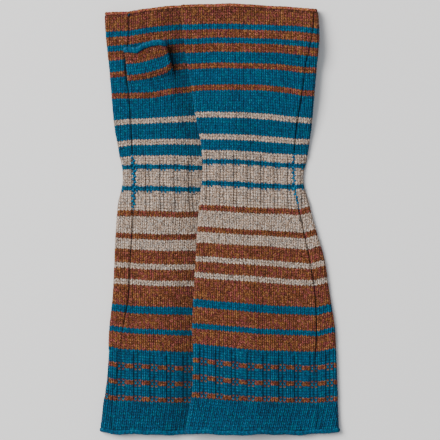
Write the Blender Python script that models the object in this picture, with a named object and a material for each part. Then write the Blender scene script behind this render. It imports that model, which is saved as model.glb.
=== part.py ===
"""A pair of striped knitted arm warmers, laid flat on a table with the right one lapped over the left.

Each warmer is one knitted tube, folded flat, with a thumb tube joined on at a slit, a cast-off band
round the fingers, a rolled edge round the thumb and a rolled edge round the arm. X runs across the
pair, Y from the arm to the fingers and Z up from the table. Sizes are in millimetres until the meshes
are made. A course is one row of stitches, counted from the finger edge.
"""

import math
from collections import namedtuple

import bpy

MM = 0.001  # metres in a millimetre

# Driving sizes of the knitting
COURSES = 156  # rows of stitches from the fingers to the arm
COURSE = 2.2  # length of one row of stitches
FINGER_LINE = 171.6  # Y of the finger edge
WALL = 1.8  # thickness of the knitted cloth
CLEAR = 0.5  # gap between layers that lie on each other
SEAM_GAP = 0.3  # gap between pieces that are joined edge to edge
FOLD = 4.6  # height of the flattened tube at its folded sides
PUFF = 1.0  # how far a loose stretch swells above that
PUFF_START = 62  # row of stitches, at the wrist, where the left one's forearm starts to swell
PUFF_FULL = 80  # and the row from which it swells fully
RIGHT_PUFF = 0.6  # the right one's swelling all over
MOUTH = 1.6  # how far an open end gapes above that
MOUTH_REACH = 12  # rows of stitches over which it closes

# Edge bands: radius of the roll, and how much taller the folds stand there to hold it
FINGER_ROLL = 1.2
ARM_ROLL = 1.6
THUMB_ROLL = 1.6
ARM_FOLD = 1.0
ROLL_REACH = 6  # rows of stitches over which a wall draws clear of the table beside its band
FOLD_REACH = 8  # rows of stitches over which the folds grow taller

# The right warmer slopes down to the table beyond the left one's hidden side over this width
DRAPE = 12.0
DRAPE_START = 1.0  # how far beyond that side the slope begins
BRIDGE = 1.8  # how much wider its front makes such slopes than its back

# The valley that the right warmer's side presses into the left one
VALLEY = 12.0

# One row for each width that is measured down a warmer. left, seam and right are X. drop_left,
# drop_seam and drop_right say how far the row of stitches lies below its even place there, and bow how
# far it sags between the seam and the far side.
Station = namedtuple("Station", "course left seam right drop_left drop_seam drop_right bow")

LEFT_STATIONS = (
    Station(0, -91.8, -72.3, 17.8, 5.9, 5.0, -0.8, -2.4),
    Station(9, -90.5, -72.6, 16.2, 5.8, 4.8, -2.6, -1.4),
    Station(20, -87.8, -75.0, 13.0, 7.2, 5.8, -2.6, -1.4),
    Station(31, -85.9, -72.2, 9.0, 6.6, 6.0, -1.6, -0.2),
    Station(42, -83.6, -70.8, 5.0, 6.0, 4.6, 3.2, -0.6),
    Station(52, -79.8, -69.4, 2.2, 5.0, 3.4, 4.4, -0.4),
    Station(62, -77.9, -68.2, 1.8, 2.8, 2.6, 3.6, 0.4),
    Station(70, -80.6, -68.8, 4.2, 2.6, 2.8, 3.0, 0.8),
    Station(80, -82.6, -69.7, 9.0, 3.0, 3.8, 3.2, 1.0),
    Station(92, -83.8, -71.5, 14.6, 2.2, 3.2, 3.8, 1.0),
    Station(104, -85.0, -72.6, 18.2, 1.8, 2.4, 3.6, 1.0),
    Station(118, -87.8, -77.4, 21.0, -2.4, -0.6, 1.4, 1.4),
    Station(130, -89.2, -80.2, 22.6, -3.2, -1.4, 1.2, 1.2),
    Station(144, -92.2, -85.4, 23.8, -3.6, -1.6, 1.2, 0.2),
    Station(156, -95.4, -85.8, 24.2, -2.0, 0.2, 0.0, 0.2),
)
RIGHT_STATIONS = (
    Station(0, -31.0, 75.4, 77.8, 0.0, 3.4, 4.8, -1.6),
    Station(9, -29.0, 73.8, 79.0, 0.4, 3.2, 4.0, -1.6),
    Station(20, -25.8, 68.6, 77.0, 1.2, 3.6, 3.8, -2.2),
    Station(31, -21.9, 65.4, 74.9, 0.8, 4.0, 4.6, -2.6),
    Station(42, -18.2, 61.6, 73.0, -0.6, 3.4, 4.2, -1.2),
    Station(52, -14.0, 59.7, 70.1, -1.0, 2.8, 3.2, -0.6),
    Station(62, -13.0, 59.4, 67.1, -1.2, 2.2, 2.0, -0.8),
    Station(70, -15.0, 61.8, 69.8, -1.6, 1.8, -0.2, 0.4),
    Station(80, -17.1, 67.0, 75.9, -1.6, 3.2, 0.0, 0.0),
    Station(92, -18.5, 72.4, 83.4, -2.4, 3.8, 0.6, -0.4),
    Station(104, -20.0, 76.4, 87.4, -3.4, 4.0, 1.0, 0.6),
    Station(118, -21.5, 77.4, 91.8, -4.6, 2.4, -1.2, 1.0),
    Station(130, -20.6, 76.6, 92.7, -6.0, 0.8, -1.6, 1.8),
    Station(144, -22.3, 79.4, 93.8, -4.6, 0.0, -0.8, 1.2),
    Station(156, -27.8, 76.2, 95.2, 0.0, 0.0, -1.0, 0.0),
)

# A thumb tube: where it joins the hand, where its open end lies, and its half width at both
Thumb = namedtuple("Thumb", "base_x base_y mouth_x mouth_y base_half mouth_half course")
LEFT_THUMB = Thumb(-53.8, 106.6, -58.5, 137.0, 18.8, 17.2, 27.4)
RIGHT_THUMB = Thumb(53.5, 106.0, 57.0, 137.0, 18.8, 17.2, 29.2)
THUMB_HEIGHT = 4.6  # of the flattened thumb tube
THUMB_BEND = 2.8  # radius of its middle line where it turns up out of the slit
THUMB_LIFT = 0.7  # how far its open end is lifted so that the roll clears what is under it
THUMB_SWELL = 0.8  # how much taller it is at the roll
THUMB_FLARE = 1.5  # station along the thumb from which it lifts and swells

# Stations along a thumb: 0 to 1 is the bend up out of the slit, and 1 to 2 is the part that lies flat
THUMB_STATIONS = (0, 0.35, 0.7, 1, 1.35, 1.7, 2)

# The hump that the right warmer makes over its own thumb, hidden beneath it
HUMP_CREST = 2.2  # how much higher it is over the thumb's roll
HUMP_CREST_START = 14  # how far before the thumb's open end that crest starts to rise
HUMP_CREST_FULL = 4  # and where it is full
HUMP_BEFORE = 4  # how far the hump reaches before the slit, beyond the thumb and beside it
HUMP_BEYOND = 5
HUMP_BESIDE = 2
HUMP_SLOPE = 14  # width of its slopes before and beside the thumb
HUMP_END_SLOPE = 15  # and beyond it

# Rows of stitches at which a tube gets a ring of points. One close pair on each bounds its thumb slit.
RINGS = (1.3, 4, 9, 15, 21, 27.1, 27.7, 33, 40, 47, 54, 62)
RINGS += (70, 78, 86, 95, 104, 114, 124, 134, 144, 150, 154.1)
RIGHT_RINGS = RINGS[:5] + (25.5, 29.0, 29.6, 31.2, 35) + RINGS[9:]
FACE_STEPS = 14  # steps across each flat face
FOLD_STEPS = 4  # steps round each folded side
THUMB_FACE_STEPS = 5
THUMB_FOLD_STEPS = 4
ROLL_SIDES = 5

# Yarn colours, linear red, green and blue
TEAL = (0.012, 0.105, 0.205)
RUST = (0.195, 0.052, 0.018)
OATMEAL = (0.37, 0.28, 0.215)
YARN_ROUGHNESS = 0.92


def ramp(value, start, end):
    """Goes smoothly from 0 at start to 1 at end."""
    part = min(max((value - start) / (end - start), 0.0), 1.0)
    return part * part * (3 - 2 * part)


def along(stations, course, column):
    """Reads one column of a warmer's table at any row of stitches, on a smooth curve."""
    last = len(stations) - 1
    low = max(i for i in range(last) if i == 0 or stations[i].course <= course)
    near = [stations[min(max(i, 0), last)] for i in range(low - 1, low + 3)]
    at = [station.course for station in near]
    value = [getattr(station, column) for station in near]
    span = at[2] - at[1]
    part = (course - at[1]) / span
    slopes = [(value[i + 1] - value[i - 1]) / (at[i + 1] - at[i - 1]) * span for i in (1, 2)]
    square = part * part
    cube = square * part
    return (
        (2 * cube - 3 * square + 1) * value[1]
        + (cube - 2 * square + part) * slopes[0]
        + (3 * square - 2 * cube) * value[2]
        + (cube - square) * slopes[1]
    )


def end_share(course, reach):
    """Is 1 at either end of a warmer and falls to 0 this many rows of stitches in."""
    return max(1 - ramp(course, 0, reach), ramp(course, COURSES - reach, COURSES))


def roll_stand(course):
    """How far the edge band near this row stands proud of the wall on each side."""
    proud = FINGER_ROLL if course < COURSES / 2 else ARM_ROLL
    return (proud - WALL / 2) * end_share(course, ROLL_REACH)


def fold_height(course):
    """Height of the flattened tube at its folded sides, taller where the arm's roll needs room."""
    return FOLD + ARM_FOLD * end_share(course, FOLD_REACH)


class Warmer:
    """One arm warmer: its table, its thumb and what it lies on."""

    def __init__(self, side, stations, thumb, rings):
        self.side = side
        self.stations = stations
        self.thumb = thumb
        self.rings = rings

    def width_at(self, course):
        return along(self.stations, course, "left"), along(self.stations, course, "right")

    def length_at(self, course, x):
        """Y of a row of stitches at X: its even place, less how far it drops there."""
        left, right = self.width_at(course)
        seam = along(self.stations, course, "seam")
        drops = [along(self.stations, course, f"drop_{place}") for place in ("left", "seam", "right")]
        bow = along(self.stations, course, "bow")
        if x < seam:
            part = (x - left) / (seam - left)
            drop = drops[0] + part * (drops[1] - drops[0])
            bowed = self.side == "right"
        else:
            part = (x - seam) / (right - seam)
            drop = drops[1] + part * (drops[2] - drops[1])
            bowed = self.side == "left"
        if bowed:
            drop += bow * 4 * part * (1 - part)
        return FINGER_LINE - COURSE * course - drop


class LeftWarmer(Warmer):
    """The warmer that lies on the table. Its right side is hidden under the other one."""

    def underside(self, course, x, y):
        return roll_stand(course)

    topside = underside

    def swelling(self, course, x):
        """How far its front swells, between its left fold and the valley beside the other warmer."""
        left = self.width_at(course)[0] + FOLD / 2
        valley = along(RIGHT_STATIONS, course, "left") - VALLEY
        if not left < x < valley:
            return 0.0
        bulge = math.sin(math.pi * (x - left) / (valley - left))
        loose = PUFF * ramp(course, PUFF_START, PUFF_FULL)
        return bulge * max(loose, MOUTH * end_share(course, MOUTH_REACH))


class RightWarmer(Warmer):
    """The warmer on top. It laps over the left one and over its own thumb, which lies under it."""

    def underside(self, course, x, y):
        return self.lying_height(course, x, y, 1)

    def lying_height(self, course, x, y, ease):
        """Height that the cloth lies at, over what is under it. A larger ease falls to the table later."""
        slope = along(LEFT_STATIONS, course, "right") + DRAPE_START
        bands = 3 * roll_stand(course)  # the left one's band stands proud twice and this one's once
        over_left = fold_height(course) + bands + CLEAR
        over_left *= 1 - ramp(x, slope, slope + ease * DRAPE)
        return max(over_left, self.over_thumb(x, y, ease)) + roll_stand(course)

    def over_thumb(self, x, y, ease):
        """Height of the hidden thumb tube under this place, eased down to the table round it."""
        thumb = self.thumb
        length = math.hypot(thumb.mouth_x - thumb.base_x, thumb.mouth_y - thumb.base_y)
        way = ((thumb.mouth_x - thumb.base_x) / length, (thumb.mouth_y - thumb.base_y) / length)
        from_base = (x - thumb.base_x) * way[0] + (y - thumb.base_y) * way[1]
        across = abs((x - thumb.base_x) * way[1] - (y - thumb.base_y) * way[0])
        height = THUMB_HEIGHT / 2 + THUMB_BEND + CLEAR
        height += HUMP_CREST * ramp(from_base, length - HUMP_CREST_START, length - HUMP_CREST_FULL)
        height *= ramp(from_base, -HUMP_BEFORE - HUMP_SLOPE * ease, -HUMP_BEFORE)
        beyond, beside = length + HUMP_BEYOND, thumb.base_half + HUMP_BESIDE
        height *= 1 - ramp(from_base, beyond, beyond + HUMP_END_SLOPE * ease)
        return height * (1 - ramp(across, beside, beside + HUMP_SLOPE * ease))

    def topside(self, course, x, y):
        """The front bridges softly over the steps that the back follows."""
        return self.lying_height(course, x, y, BRIDGE)

    def swelling(self, course, x):
        left, right = self.width_at(course)
        bulge = math.sin(math.pi * min(max((x - left) / (right - left), 0), 1))
        return bulge * max(RIGHT_PUFF, MOUTH * end_share(course, MOUTH_REACH))


def section(warmer, course, inset):
    """One ring of points round a flattened tube, this far inside its outer surface."""
    left, right = warmer.width_at(course)
    radius = fold_height(course) / 2
    start, end = left + radius, right - radius
    steps = [start + (end - start) * i / FACE_STEPS for i in range(FACE_STEPS + 1)]
    ring = []
    for x in steps:
        y = warmer.length_at(course, x)
        top = warmer.topside(course, x, y) + 2 * radius + warmer.swelling(course, x)
        ring.append((x, y, top - inset))
    ring += fold_points(warmer, course, end, radius, inset, 1)
    for x in reversed(steps):
        y = warmer.length_at(course, x)
        ring.append((x, y, warmer.underside(course, x, y) + inset))
    ring += fold_points(warmer, course, start, radius, inset, -1)
    return ring


def fold_points(warmer, course, x, radius, inset, way):
    """The half oval of points round a folded side, without its two ends."""
    y = warmer.length_at(course, x)
    low = warmer.underside(course, x, y)
    high = warmer.topside(course, x, y) + 2 * radius
    reach = (high - low) / 2 - inset
    points = []
    for step in range(1, FOLD_STEPS):
        angle = math.pi / 2 - math.pi * step / FOLD_STEPS
        out = math.cos(angle) * (radius - inset)
        points.append((x + way * out, y, (low + high) / 2 + way * math.sin(angle) * reach))
    return points


def thumb_section(warmer, station, inset):
    """One ring of points round a thumb tube. It leaves the slit upright and bends to lie flat.

    The right warmer's thumb does the same downwards, from the back of the hand to the table.
    """
    thumb = warmer.thumb
    length = math.hypot(thumb.mouth_x - thumb.base_x, thumb.mouth_y - thumb.base_y)
    way = ((thumb.mouth_x - thumb.base_x) / length, (thumb.mouth_y - thumb.base_y) / length)
    across = (way[1], -way[0])
    angle = min(station, 1.0) * math.pi / 2
    run = THUMB_BEND * (1 - math.cos(angle))
    rise = THUMB_BEND * math.sin(angle)
    if station > 1:
        run += (station - 1) * (length - THUMB_BEND)
    lift = ramp(station, THUMB_FLARE, THUMB_STATIONS[-1])
    half_height = THUMB_HEIGHT / 2 + THUMB_SWELL / 2 * lift
    rise += (THUMB_LIFT + THUMB_SWELL / 2) * lift
    half_width = thumb.base_half + (thumb.mouth_half - thumb.base_half) * run / length
    if warmer.side == "left":
        foot, upward = FOLD + CLEAR, 1
    else:
        foot, upward = THUMB_HEIGHT / 2 + THUMB_BEND, -1
        rise -= 2 * THUMB_LIFT * lift + THUMB_SWELL * lift
    ring = []
    flat = half_width - half_height
    for face in (1, -1):
        for step in range(THUMB_FACE_STEPS + 1):
            ring.append((face * (2 * step / THUMB_FACE_STEPS - 1) * flat, face * (half_height - inset)))
        for step in range(1, THUMB_FOLD_STEPS):
            turn = math.pi / 2 - math.pi * step / THUMB_FOLD_STEPS
            reach = half_height - inset
            ring.append((face * (flat + math.cos(turn) * reach), face * math.sin(turn) * reach))
    points = []
    for side, out in ring:
        forward = run - out * math.cos(angle)
        points.append(
            (
                thumb.base_x + forward * way[0] + side * across[0],
                thumb.base_y + forward * way[1] + side * across[1],
                foot + upward * (rise + out * math.sin(angle)),
            )
        )
    return points


def tube_mesh(outer, inner, window=None):
    """Joins rings of points into a wall, open at both ends, with a slit where window says.

    window is (first ring, first point, last point): the one band of faces that is left out.
    """
    count = len(outer[0])
    rows = len(outer)
    points = [point for ring in outer for point in ring] + [point for ring in inner for point in ring]

    def corner(wall, row, place):
        return (wall * rows + row) * count + place % count

    def is_open(row, place):
        return window is not None and row == window[0] and window[1] <= place < window[2]

    faces = []
    for row in range(rows - 1):
        for place in range(count):
            if is_open(row, place):
                continue
            for wall in (0, 1):
                face = [
                    corner(wall, row, place),
                    corner(wall, row, place + 1),
                    corner(wall, row + 1, place + 1),
                    corner(wall, row + 1, place),
                ]
                faces.append(face if wall == 0 else face[::-1])
    for place in range(count):
        for row, turned in ((0, True), (rows - 1, False)):
            face = [corner(0, row, place), corner(0, row, place + 1)]
            face += [corner(1, row, place + 1), corner(1, row, place)]
            faces.append(face[::-1] if turned else face)
    if window is not None:
        row, first, last = window
        border = [(row, place) for place in range(first, last + 1)]
        border += [(row + 1, place) for place in range(last, first - 1, -1)]
        for start, end in zip(border, border[1:] + border[:1]):
            faces.append([corner(0, *start), corner(0, *end), corner(1, *end), corner(1, *start)])
    return points, faces


def roll_mesh(outer, inner, beyond, radius):
    """A rolled edge: a round band that follows a tube's open end, set beyond it by its radius and a gap."""
    count = len(outer)
    points = []
    for place in range(count):
        middle = [(a + b) / 2 for a, b in zip(outer[place], inner[place])]
        out = [a - b for a, b in zip(outer[place], inner[place])]
        size = math.sqrt(sum(value * value for value in out))
        out = [value / size for value in out]
        middle = [value + (radius + SEAM_GAP) * way for value, way in zip(middle, beyond)]
        for side in range(ROLL_SIDES):
            angle = 2 * math.pi * (side + 0.5) / ROLL_SIDES
            points.append(
                tuple(
                    value + radius * (math.cos(angle) * a + math.sin(angle) * b)
                    for value, a, b in zip(middle, out, beyond)
                )
            )
    faces = []
    for place in range(count):
        after = (place + 1) % count
        for side in range(ROLL_SIDES):
            turned = (side + 1) % ROLL_SIDES
            faces.append(
                [
                    place * ROLL_SIDES + side,
                    place * ROLL_SIDES + turned,
                    after * ROLL_SIDES + turned,
                    after * ROLL_SIDES + side,
                ]
            )
    return points, faces


def yarn(name, colour):
    material = bpy.data.materials.new(name)
    material.use_nodes = True
    shader = material.node_tree.nodes["Principled BSDF"]
    shader.inputs["Base Color"].default_value = (*colour, 1)
    shader.inputs["Roughness"].default_value = YARN_ROUGHNESS
    shader.inputs["Metallic"].default_value = 0.0
    return material


def add_piece(name, shape, colour):
    """Makes one closed solid, its faces turned outwards, with its own yarn."""
    points, faces = shape
    mesh = bpy.data.meshes.new(name)
    mesh.from_pydata([[value * MM for value in point] for point in points], [], faces)
    mesh.validate()
    if signed_volume(points, faces) < 0:
        mesh.flip_normals()
    mesh.shade_smooth()
    mesh.materials.append(yarn(name, colour))
    piece = bpy.data.objects.new(name, mesh)
    bpy.context.scene.collection.objects.link(piece)
    return piece


def signed_volume(points, faces):
    """Volume that the faces enclose, below zero where they point inwards."""
    total = 0.0
    for face in faces:
        a = points[face[0]]
        for second, third in zip(face[1:], face[2:]):
            b, c = points[second], points[third]
            total += a[0] * (b[1] * c[2] - b[2] * c[1])
            total += a[1] * (b[2] * c[0] - b[0] * c[2])
            total += a[2] * (b[0] * c[1] - b[1] * c[0])
    return total / 6


def slit_window(warmer):
    """The band of faces to leave out for the thumb: on the front on the left, on the back on the right."""
    thumb = warmer.thumb
    row = max(i for i, course in enumerate(warmer.rings) if course <= thumb.course)
    left, right = warmer.width_at(thumb.course)
    radius = fold_height(thumb.course) / 2
    step = (right - left - 2 * radius) / FACE_STEPS
    low = (thumb.base_x - thumb.base_half + WALL - left - radius) / step
    high = (thumb.base_x + thumb.base_half - WALL - left - radius) / step
    first, last = math.ceil(low), math.floor(high)
    if warmer.side == "left":
        return row, first, last
    back = 2 * FACE_STEPS + FOLD_STEPS
    return row, back - last, back - first


def build_warmer(warmer):
    side = warmer.side
    outer = [section(warmer, course, 0) for course in warmer.rings]
    inner = [section(warmer, course, WALL) for course in warmer.rings]
    made = [add_piece(f"{side}_arm_tube", tube_mesh(outer, inner, slit_window(warmer)), OATMEAL)]
    made.append(
        add_piece(f"{side}_finger_edge", roll_mesh(outer[0], inner[0], (0, 1, 0), FINGER_ROLL), RUST)
    )
    made.append(
        add_piece(f"{side}_arm_edge", roll_mesh(outer[-1], inner[-1], (0, -1, 0), ARM_ROLL), TEAL)
    )
    outer = [thumb_section(warmer, station, 0) for station in THUMB_STATIONS]
    inner = [thumb_section(warmer, station, WALL) for station in THUMB_STATIONS]
    made.append(add_piece(f"{side}_thumb_tube", tube_mesh(outer, inner), RUST))
    thumb = warmer.thumb
    length = math.hypot(thumb.mouth_x - thumb.base_x, thumb.mouth_y - thumb.base_y)
    beyond = ((thumb.mouth_x - thumb.base_x) / length, (thumb.mouth_y - thumb.base_y) / length, 0)
    made.append(
        add_piece(f"{side}_thumb_edge", roll_mesh(outer[-1], inner[-1], beyond, THUMB_ROLL), TEAL)
    )
    return made


def centre_on_table(made):
    """Moves every mesh alike, so that the pair's box stands on the origin."""
    corners = [vertex.co for piece in made for vertex in piece.data.vertices]
    low = [min(corner[axis] for corner in corners) for axis in range(3)]
    high = [max(corner[axis] for corner in corners) for axis in range(3)]
    shift = ((low[0] + high[0]) / 2, (low[1] + high[1]) / 2, low[2])
    for piece in made:
        for vertex in piece.data.vertices:
            for axis in range(3):
                vertex.co[axis] -= shift[axis]


def main():
    for thing in list(bpy.data.objects):
        bpy.data.objects.remove(thing)
    made = build_warmer(LeftWarmer("left", LEFT_STATIONS, LEFT_THUMB, RINGS))
    made += build_warmer(RightWarmer("right", RIGHT_STATIONS, RIGHT_THUMB, RIGHT_RINGS))
    centre_on_table(made)


main()
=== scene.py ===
"""Looks of a pair of striped knitted arm warmers, laid flat with the right one lapped over the left.

The knitting is real relief: every stitch that shows is a pair of slanted legs in the mesh, and the ribs,
the side seam, the rolled edges and the thumb are shaped too. Run it as a script in Blender 4.5.
"""

import math
from collections import namedtuple
from functools import partial

import bpy
import numpy as np
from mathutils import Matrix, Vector


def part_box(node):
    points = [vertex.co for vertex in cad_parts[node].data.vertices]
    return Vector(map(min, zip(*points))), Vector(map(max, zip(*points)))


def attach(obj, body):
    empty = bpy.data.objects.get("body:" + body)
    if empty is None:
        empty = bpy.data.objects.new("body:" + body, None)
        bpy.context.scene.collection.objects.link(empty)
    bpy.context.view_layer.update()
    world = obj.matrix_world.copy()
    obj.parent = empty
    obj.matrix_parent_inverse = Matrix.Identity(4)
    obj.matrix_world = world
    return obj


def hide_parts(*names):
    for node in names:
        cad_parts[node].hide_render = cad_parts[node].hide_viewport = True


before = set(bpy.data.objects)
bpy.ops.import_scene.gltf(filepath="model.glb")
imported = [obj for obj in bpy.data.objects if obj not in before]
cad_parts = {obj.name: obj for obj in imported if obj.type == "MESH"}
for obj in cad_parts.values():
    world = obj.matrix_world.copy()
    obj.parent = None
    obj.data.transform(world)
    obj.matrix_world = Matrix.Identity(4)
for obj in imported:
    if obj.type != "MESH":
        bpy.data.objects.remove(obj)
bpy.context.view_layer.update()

bl_info = {
    "name": "Knitted arm warmers",
    "version": (1, 0, 0),
    "blender": (4, 5, 0),
    "location": "3D View > Sidebar > Knitting",
    "description": "Builds a pair of striped, ribbed arm warmers laid flat, stitch by stitch",
    "category": "Object",
}

MM = 0.001  # metres in a millimetre
BODY = "root"
SIDES = ("left", "right")

# ---------------------------------------------------------------- sizes of the knitting, in millimetres
COURSES = 156  # rows of stitches from the fingers to the arm
COURSE = 2.2  # length of one row of stitches
FINGER_LINE = 171.6  # Y of the finger edge
WALL = 1.8  # thickness of the knitted cloth
CLEAR = 0.5  # gap between one layer and what it lies on
FOLD = 4.6  # height of a folded tube at its sides
PUFF = 0.6  # how far the right warmer swells
MOUTH = 1.6  # how far the open ends stand apart
FINGER_ROLL = 1.2  # half the height of each edge band
ARM_ROLL = 1.6
THUMB_ROLL = 1.6
ARM_FOLD = 1.0  # how much higher the folds are at the open ends
DRAPE = 12.0  # over this width the right warmer comes down beside what it lies on
BRIDGE = 3.4  # how many times wider its upper layer takes
VALLEY = 8.0  # how far beside the right warmer's edge the left one dips
VALLEY_WIDTH = 6.0
VALLEY_DEPTH = 0.8
PUFFED = 2.4  # how far the left warmer swells beside the right one
THUMB_PULL = 1.9  # how far the rows of stitches under the thumb sag
THUMB_SAG = 1.8  # how far the middle of its own rows sags
THUMB_HEIGHT = 4.6  # height of a flat thumb
THUMB_BEND = 2.8  # how far above the middle of its own thumb the right warmer passes
THUMB_STEP = 2.2  # and how much further at the thumb's mouth
BASE_EASE, MOUTH_EASE, SIDE_EASE = 14, 15, 14  # over these widths it comes down round the thumb

# left, seam and right are X of the sides and the side seam. The drops say how far a row of stitches lies
# below its even place there, and bow how far it sags on the wide side of the seam.
Station = namedtuple("Station", "course left seam right drop_left drop_seam drop_right bow")
LEFT_STATIONS = (
    Station(0, -91.8, -72.3, 17.8, 5.9, 5.0, -0.8, -2.4),
    Station(9, -90.5, -72.6, 16.2, 5.8, 4.8, -2.6, -1.4),
    Station(20, -87.8, -75.0, 13.0, 7.2, 5.8, -2.6, -1.4),
    Station(31, -85.9, -72.2, 9.0, 6.6, 6.0, -1.6, -0.2),
    Station(42, -83.6, -70.8, 5.0, 6.0, 4.6, 3.2, -0.6),
    Station(52, -79.8, -69.4, 2.2, 5.0, 3.4, 4.4, -0.4),
    Station(62, -77.9, -68.2, 1.8, 2.8, 2.6, 3.6, 0.4),
    Station(70, -80.6, -68.8, 4.2, 2.6, 2.8, 3.0, 0.8),
    Station(80, -82.6, -69.7, 9.0, 3.0, 3.8, 3.2, 1.0),
    Station(92, -83.8, -71.5, 14.6, 2.2, 3.2, 3.8, 1.0),
    Station(104, -85.0, -72.6, 18.2, 1.8, 2.4, 3.6, 1.0),
    Station(118, -87.8, -77.4, 21.0, -2.4, -0.6, 1.4, 1.4),
    Station(130, -89.2, -80.2, 22.6, -3.2, -1.4, 1.2, 1.2),
    Station(144, -92.2, -85.4, 23.8, -3.6, -1.6, 1.2, 0.2),
    Station(156, -95.4, -85.8, 24.2, -2.0, 0.2, 0.0, 0.2),
)
RIGHT_STATIONS = (
    Station(0, -31.0, 75.4, 77.8, 0.0, 3.4, 4.8, -1.6),
    Station(9, -29.0, 73.8, 79.0, 0.4, 3.2, 4.0, -1.6),
    Station(20, -25.8, 68.6, 77.0, 1.2, 3.6, 3.8, -2.2),
    Station(31, -21.9, 65.4, 74.9, 0.8, 4.0, 4.6, -2.6),
    Station(42, -18.2, 61.6, 73.0, -0.6, 3.4, 4.2, -1.2),
    Station(52, -14.0, 59.7, 70.1, -1.0, 2.8, 3.2, -0.6),
    Station(62, -13.0, 59.4, 67.1, -1.2, 2.2, 2.0, -0.8),
    Station(70, -15.0, 61.8, 69.8, -1.6, 1.8, -0.2, 0.4),
    Station(80, -17.1, 67.0, 75.9, -1.6, 3.2, 0.0, 0.0),
    Station(92, -18.5, 72.4, 83.4, -2.4, 3.8, 0.6, -0.4),
    Station(104, -20.0, 76.4, 87.4, -3.4, 4.0, 1.0, 0.6),
    Station(118, -21.5, 77.4, 91.8, -4.6, 2.4, -1.2, 1.0),
    Station(130, -20.6, 76.6, 92.7, -6.0, 0.8, -1.6, 1.8),
    Station(144, -22.3, 79.4, 93.8, -4.6, 0.0, -0.8, 1.2),
    Station(156, -27.8, 76.2, 95.2, 0.0, 0.0, -1.0, 0.0),
)
Thumb = namedtuple("Thumb", "base_x base_y mouth_x mouth_y base_half mouth_half")
THUMBS = {
    "left": Thumb(-53.8, 106.6, -58.9, 137.0, 18.8, 17.2),
    "right": Thumb(53.5, 106.0, 57.0, 137.0, 18.8, 17.2),
}

# Columns of stitches (wales): how many go round, X of the one that ribs are counted from, which ones show
# and so get full stitches, and how wide they are down each warmer
WALES_ROUND = 72
WALE_LINE = {"left": -81.9, "right": 21.8}
SHOWING_WALES = {"left": (-5, 26), "right": (-19, 24)}
HEM_LEAN = {"left": 3.5, "right": 6.0}  # how far the last rows of stitches slide to the left
WAVER = 0.16  # how far rows of stitches stray up and down
RIB_REPEAT = 4  # two purl wales, then two knit wales
Pitch = namedtuple("Pitch", "course width")
PITCHES = {
    "left": (
        Pitch(0, 2.96), Pitch(40, 2.90), Pitch(62, 2.84), Pitch(88, 3.02), Pitch(125, 3.28), Pitch(156, 3.28),
    ),
    "right": (
        Pitch(0, 2.96), Pitch(30, 2.90), Pitch(54, 2.70), Pitch(70, 2.71), Pitch(92, 2.92), Pitch(125, 3.13),
        Pitch(156, 3.13),
    ),
}

# The knitted zones from the fingers down: name, first and last row of stitches, ribbed or plain
Zone = namedtuple("Zone", "name start end ribbed")
ZONES = (
    Zone("hand", 0, 53, False),
    Zone("wrist_rib", 53, 73, True),
    Zone("forearm", 73, 125, False),
    Zone("arm_rib", 125, 144, True),
    Zone("arm_end", 144, 156, False),
)

WRIST_END = 100  # ribs before this row are the wrist's, and ribs after it the arm's
ARM_RIB_START = 125  # from here on the sunk purl wales are painted a little darker, as shade
HEM_START = 143  # from here on the stitches lean away to the left, and their left legs get painted shade

TEAL, RUST, OATMEAL = 0, 1, 2
Stripe = namedtuple("Stripe", "yarn rows")
STRIPES = (
    Stripe(RUST, 7), Stripe(TEAL, 2), Stripe(RUST, 3), Stripe(TEAL, 2), Stripe(RUST, 3), Stripe(TEAL, 4),
    Stripe(RUST, 2), Stripe(TEAL, 6), Stripe(RUST, 2), Stripe(TEAL, 8), Stripe(OATMEAL, 2), Stripe(TEAL, 6),
    Stripe(OATMEAL, 2), Stripe(TEAL, 4), Stripe(OATMEAL, 3), Stripe(TEAL, 2), Stripe(OATMEAL, 6),
    Stripe(TEAL, 2), Stripe(OATMEAL, 7), Stripe(RUST, 2), Stripe(OATMEAL, 6), Stripe(RUST, 2),
    Stripe(OATMEAL, 4), Stripe(RUST, 5), Stripe(OATMEAL, 2), Stripe(RUST, 4), Stripe(OATMEAL, 2),
    Stripe(RUST, 8), Stripe(TEAL, 3), Stripe(RUST, 6), Stripe(TEAL, 2), Stripe(RUST, 6), Stripe(TEAL, 5),
    Stripe(RUST, 2), Stripe(TEAL, 4), Stripe(RUST, 2), Stripe(TEAL, 4), Stripe(RUST, 2), Stripe(TEAL, 12),
)
THUMB_STRIPES = (Stripe(RUST, 4), Stripe(TEAL, 4), Stripe(RUST, 2), Stripe(TEAL, 8))

# Soft hollows (negative) and ridges in the cloth: where, how long and wide, how deep, and which way
Crease = namedtuple("Crease", "side x y length width depth turn")
CREASES = (
    Crease("left", -62, 60, 38, 9, -0.5, 78),
    Crease("left", -48, 18, 60, 12, 0.5, 95),
    Crease("left", -66, -40, 55, 10, -0.4, 88),
    Crease("left", -45, -85, 45, 14, 0.5, 84),
    Crease("left", -76, 92, 20, 7, -0.5, 60),
    Crease("left", -72, -128, 26, 9, -0.4, 70),
    Crease("right", 12, 120, 44, 14, 0.4, 70),
    Crease("right", 2, 62, 50, 11, -0.5, 100),
    Crease("right", 40, 50, 34, 10, 0.4, 80),
    Crease("right", 30, 5, 60, 15, 0.6, 96),
    Crease("right", 62, -30, 50, 9, -0.5, 78),
    Crease("right", 8, -60, 55, 13, -0.4, 86),
    Crease("right", 48, -88, 42, 14, 0.5, 92),
    Crease("right", 72, -120, 30, 10, -0.4, 80),
    Crease("right", 0, -135, 26, 10, 0.4, 104),
)

# Soft shade where one layer lies beside another: how far off its middle is, how wide it is, how dark
Shadow = namedtuple("Shadow", "middle width depth")
EDGE_SHADOW = Shadow(-4, 8, 0.24)  # beside the right warmer's edge
CLOSE_SHADOW = Shadow(0.6, 1.5, 0.5)  # close round the left thumb
WIDE_SHADOW = Shadow(3, 5, 0.25)  # and wider at its right
LEFT_LIT = 0.95  # painted shade: how much light the left warmer gets elsewhere

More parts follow.
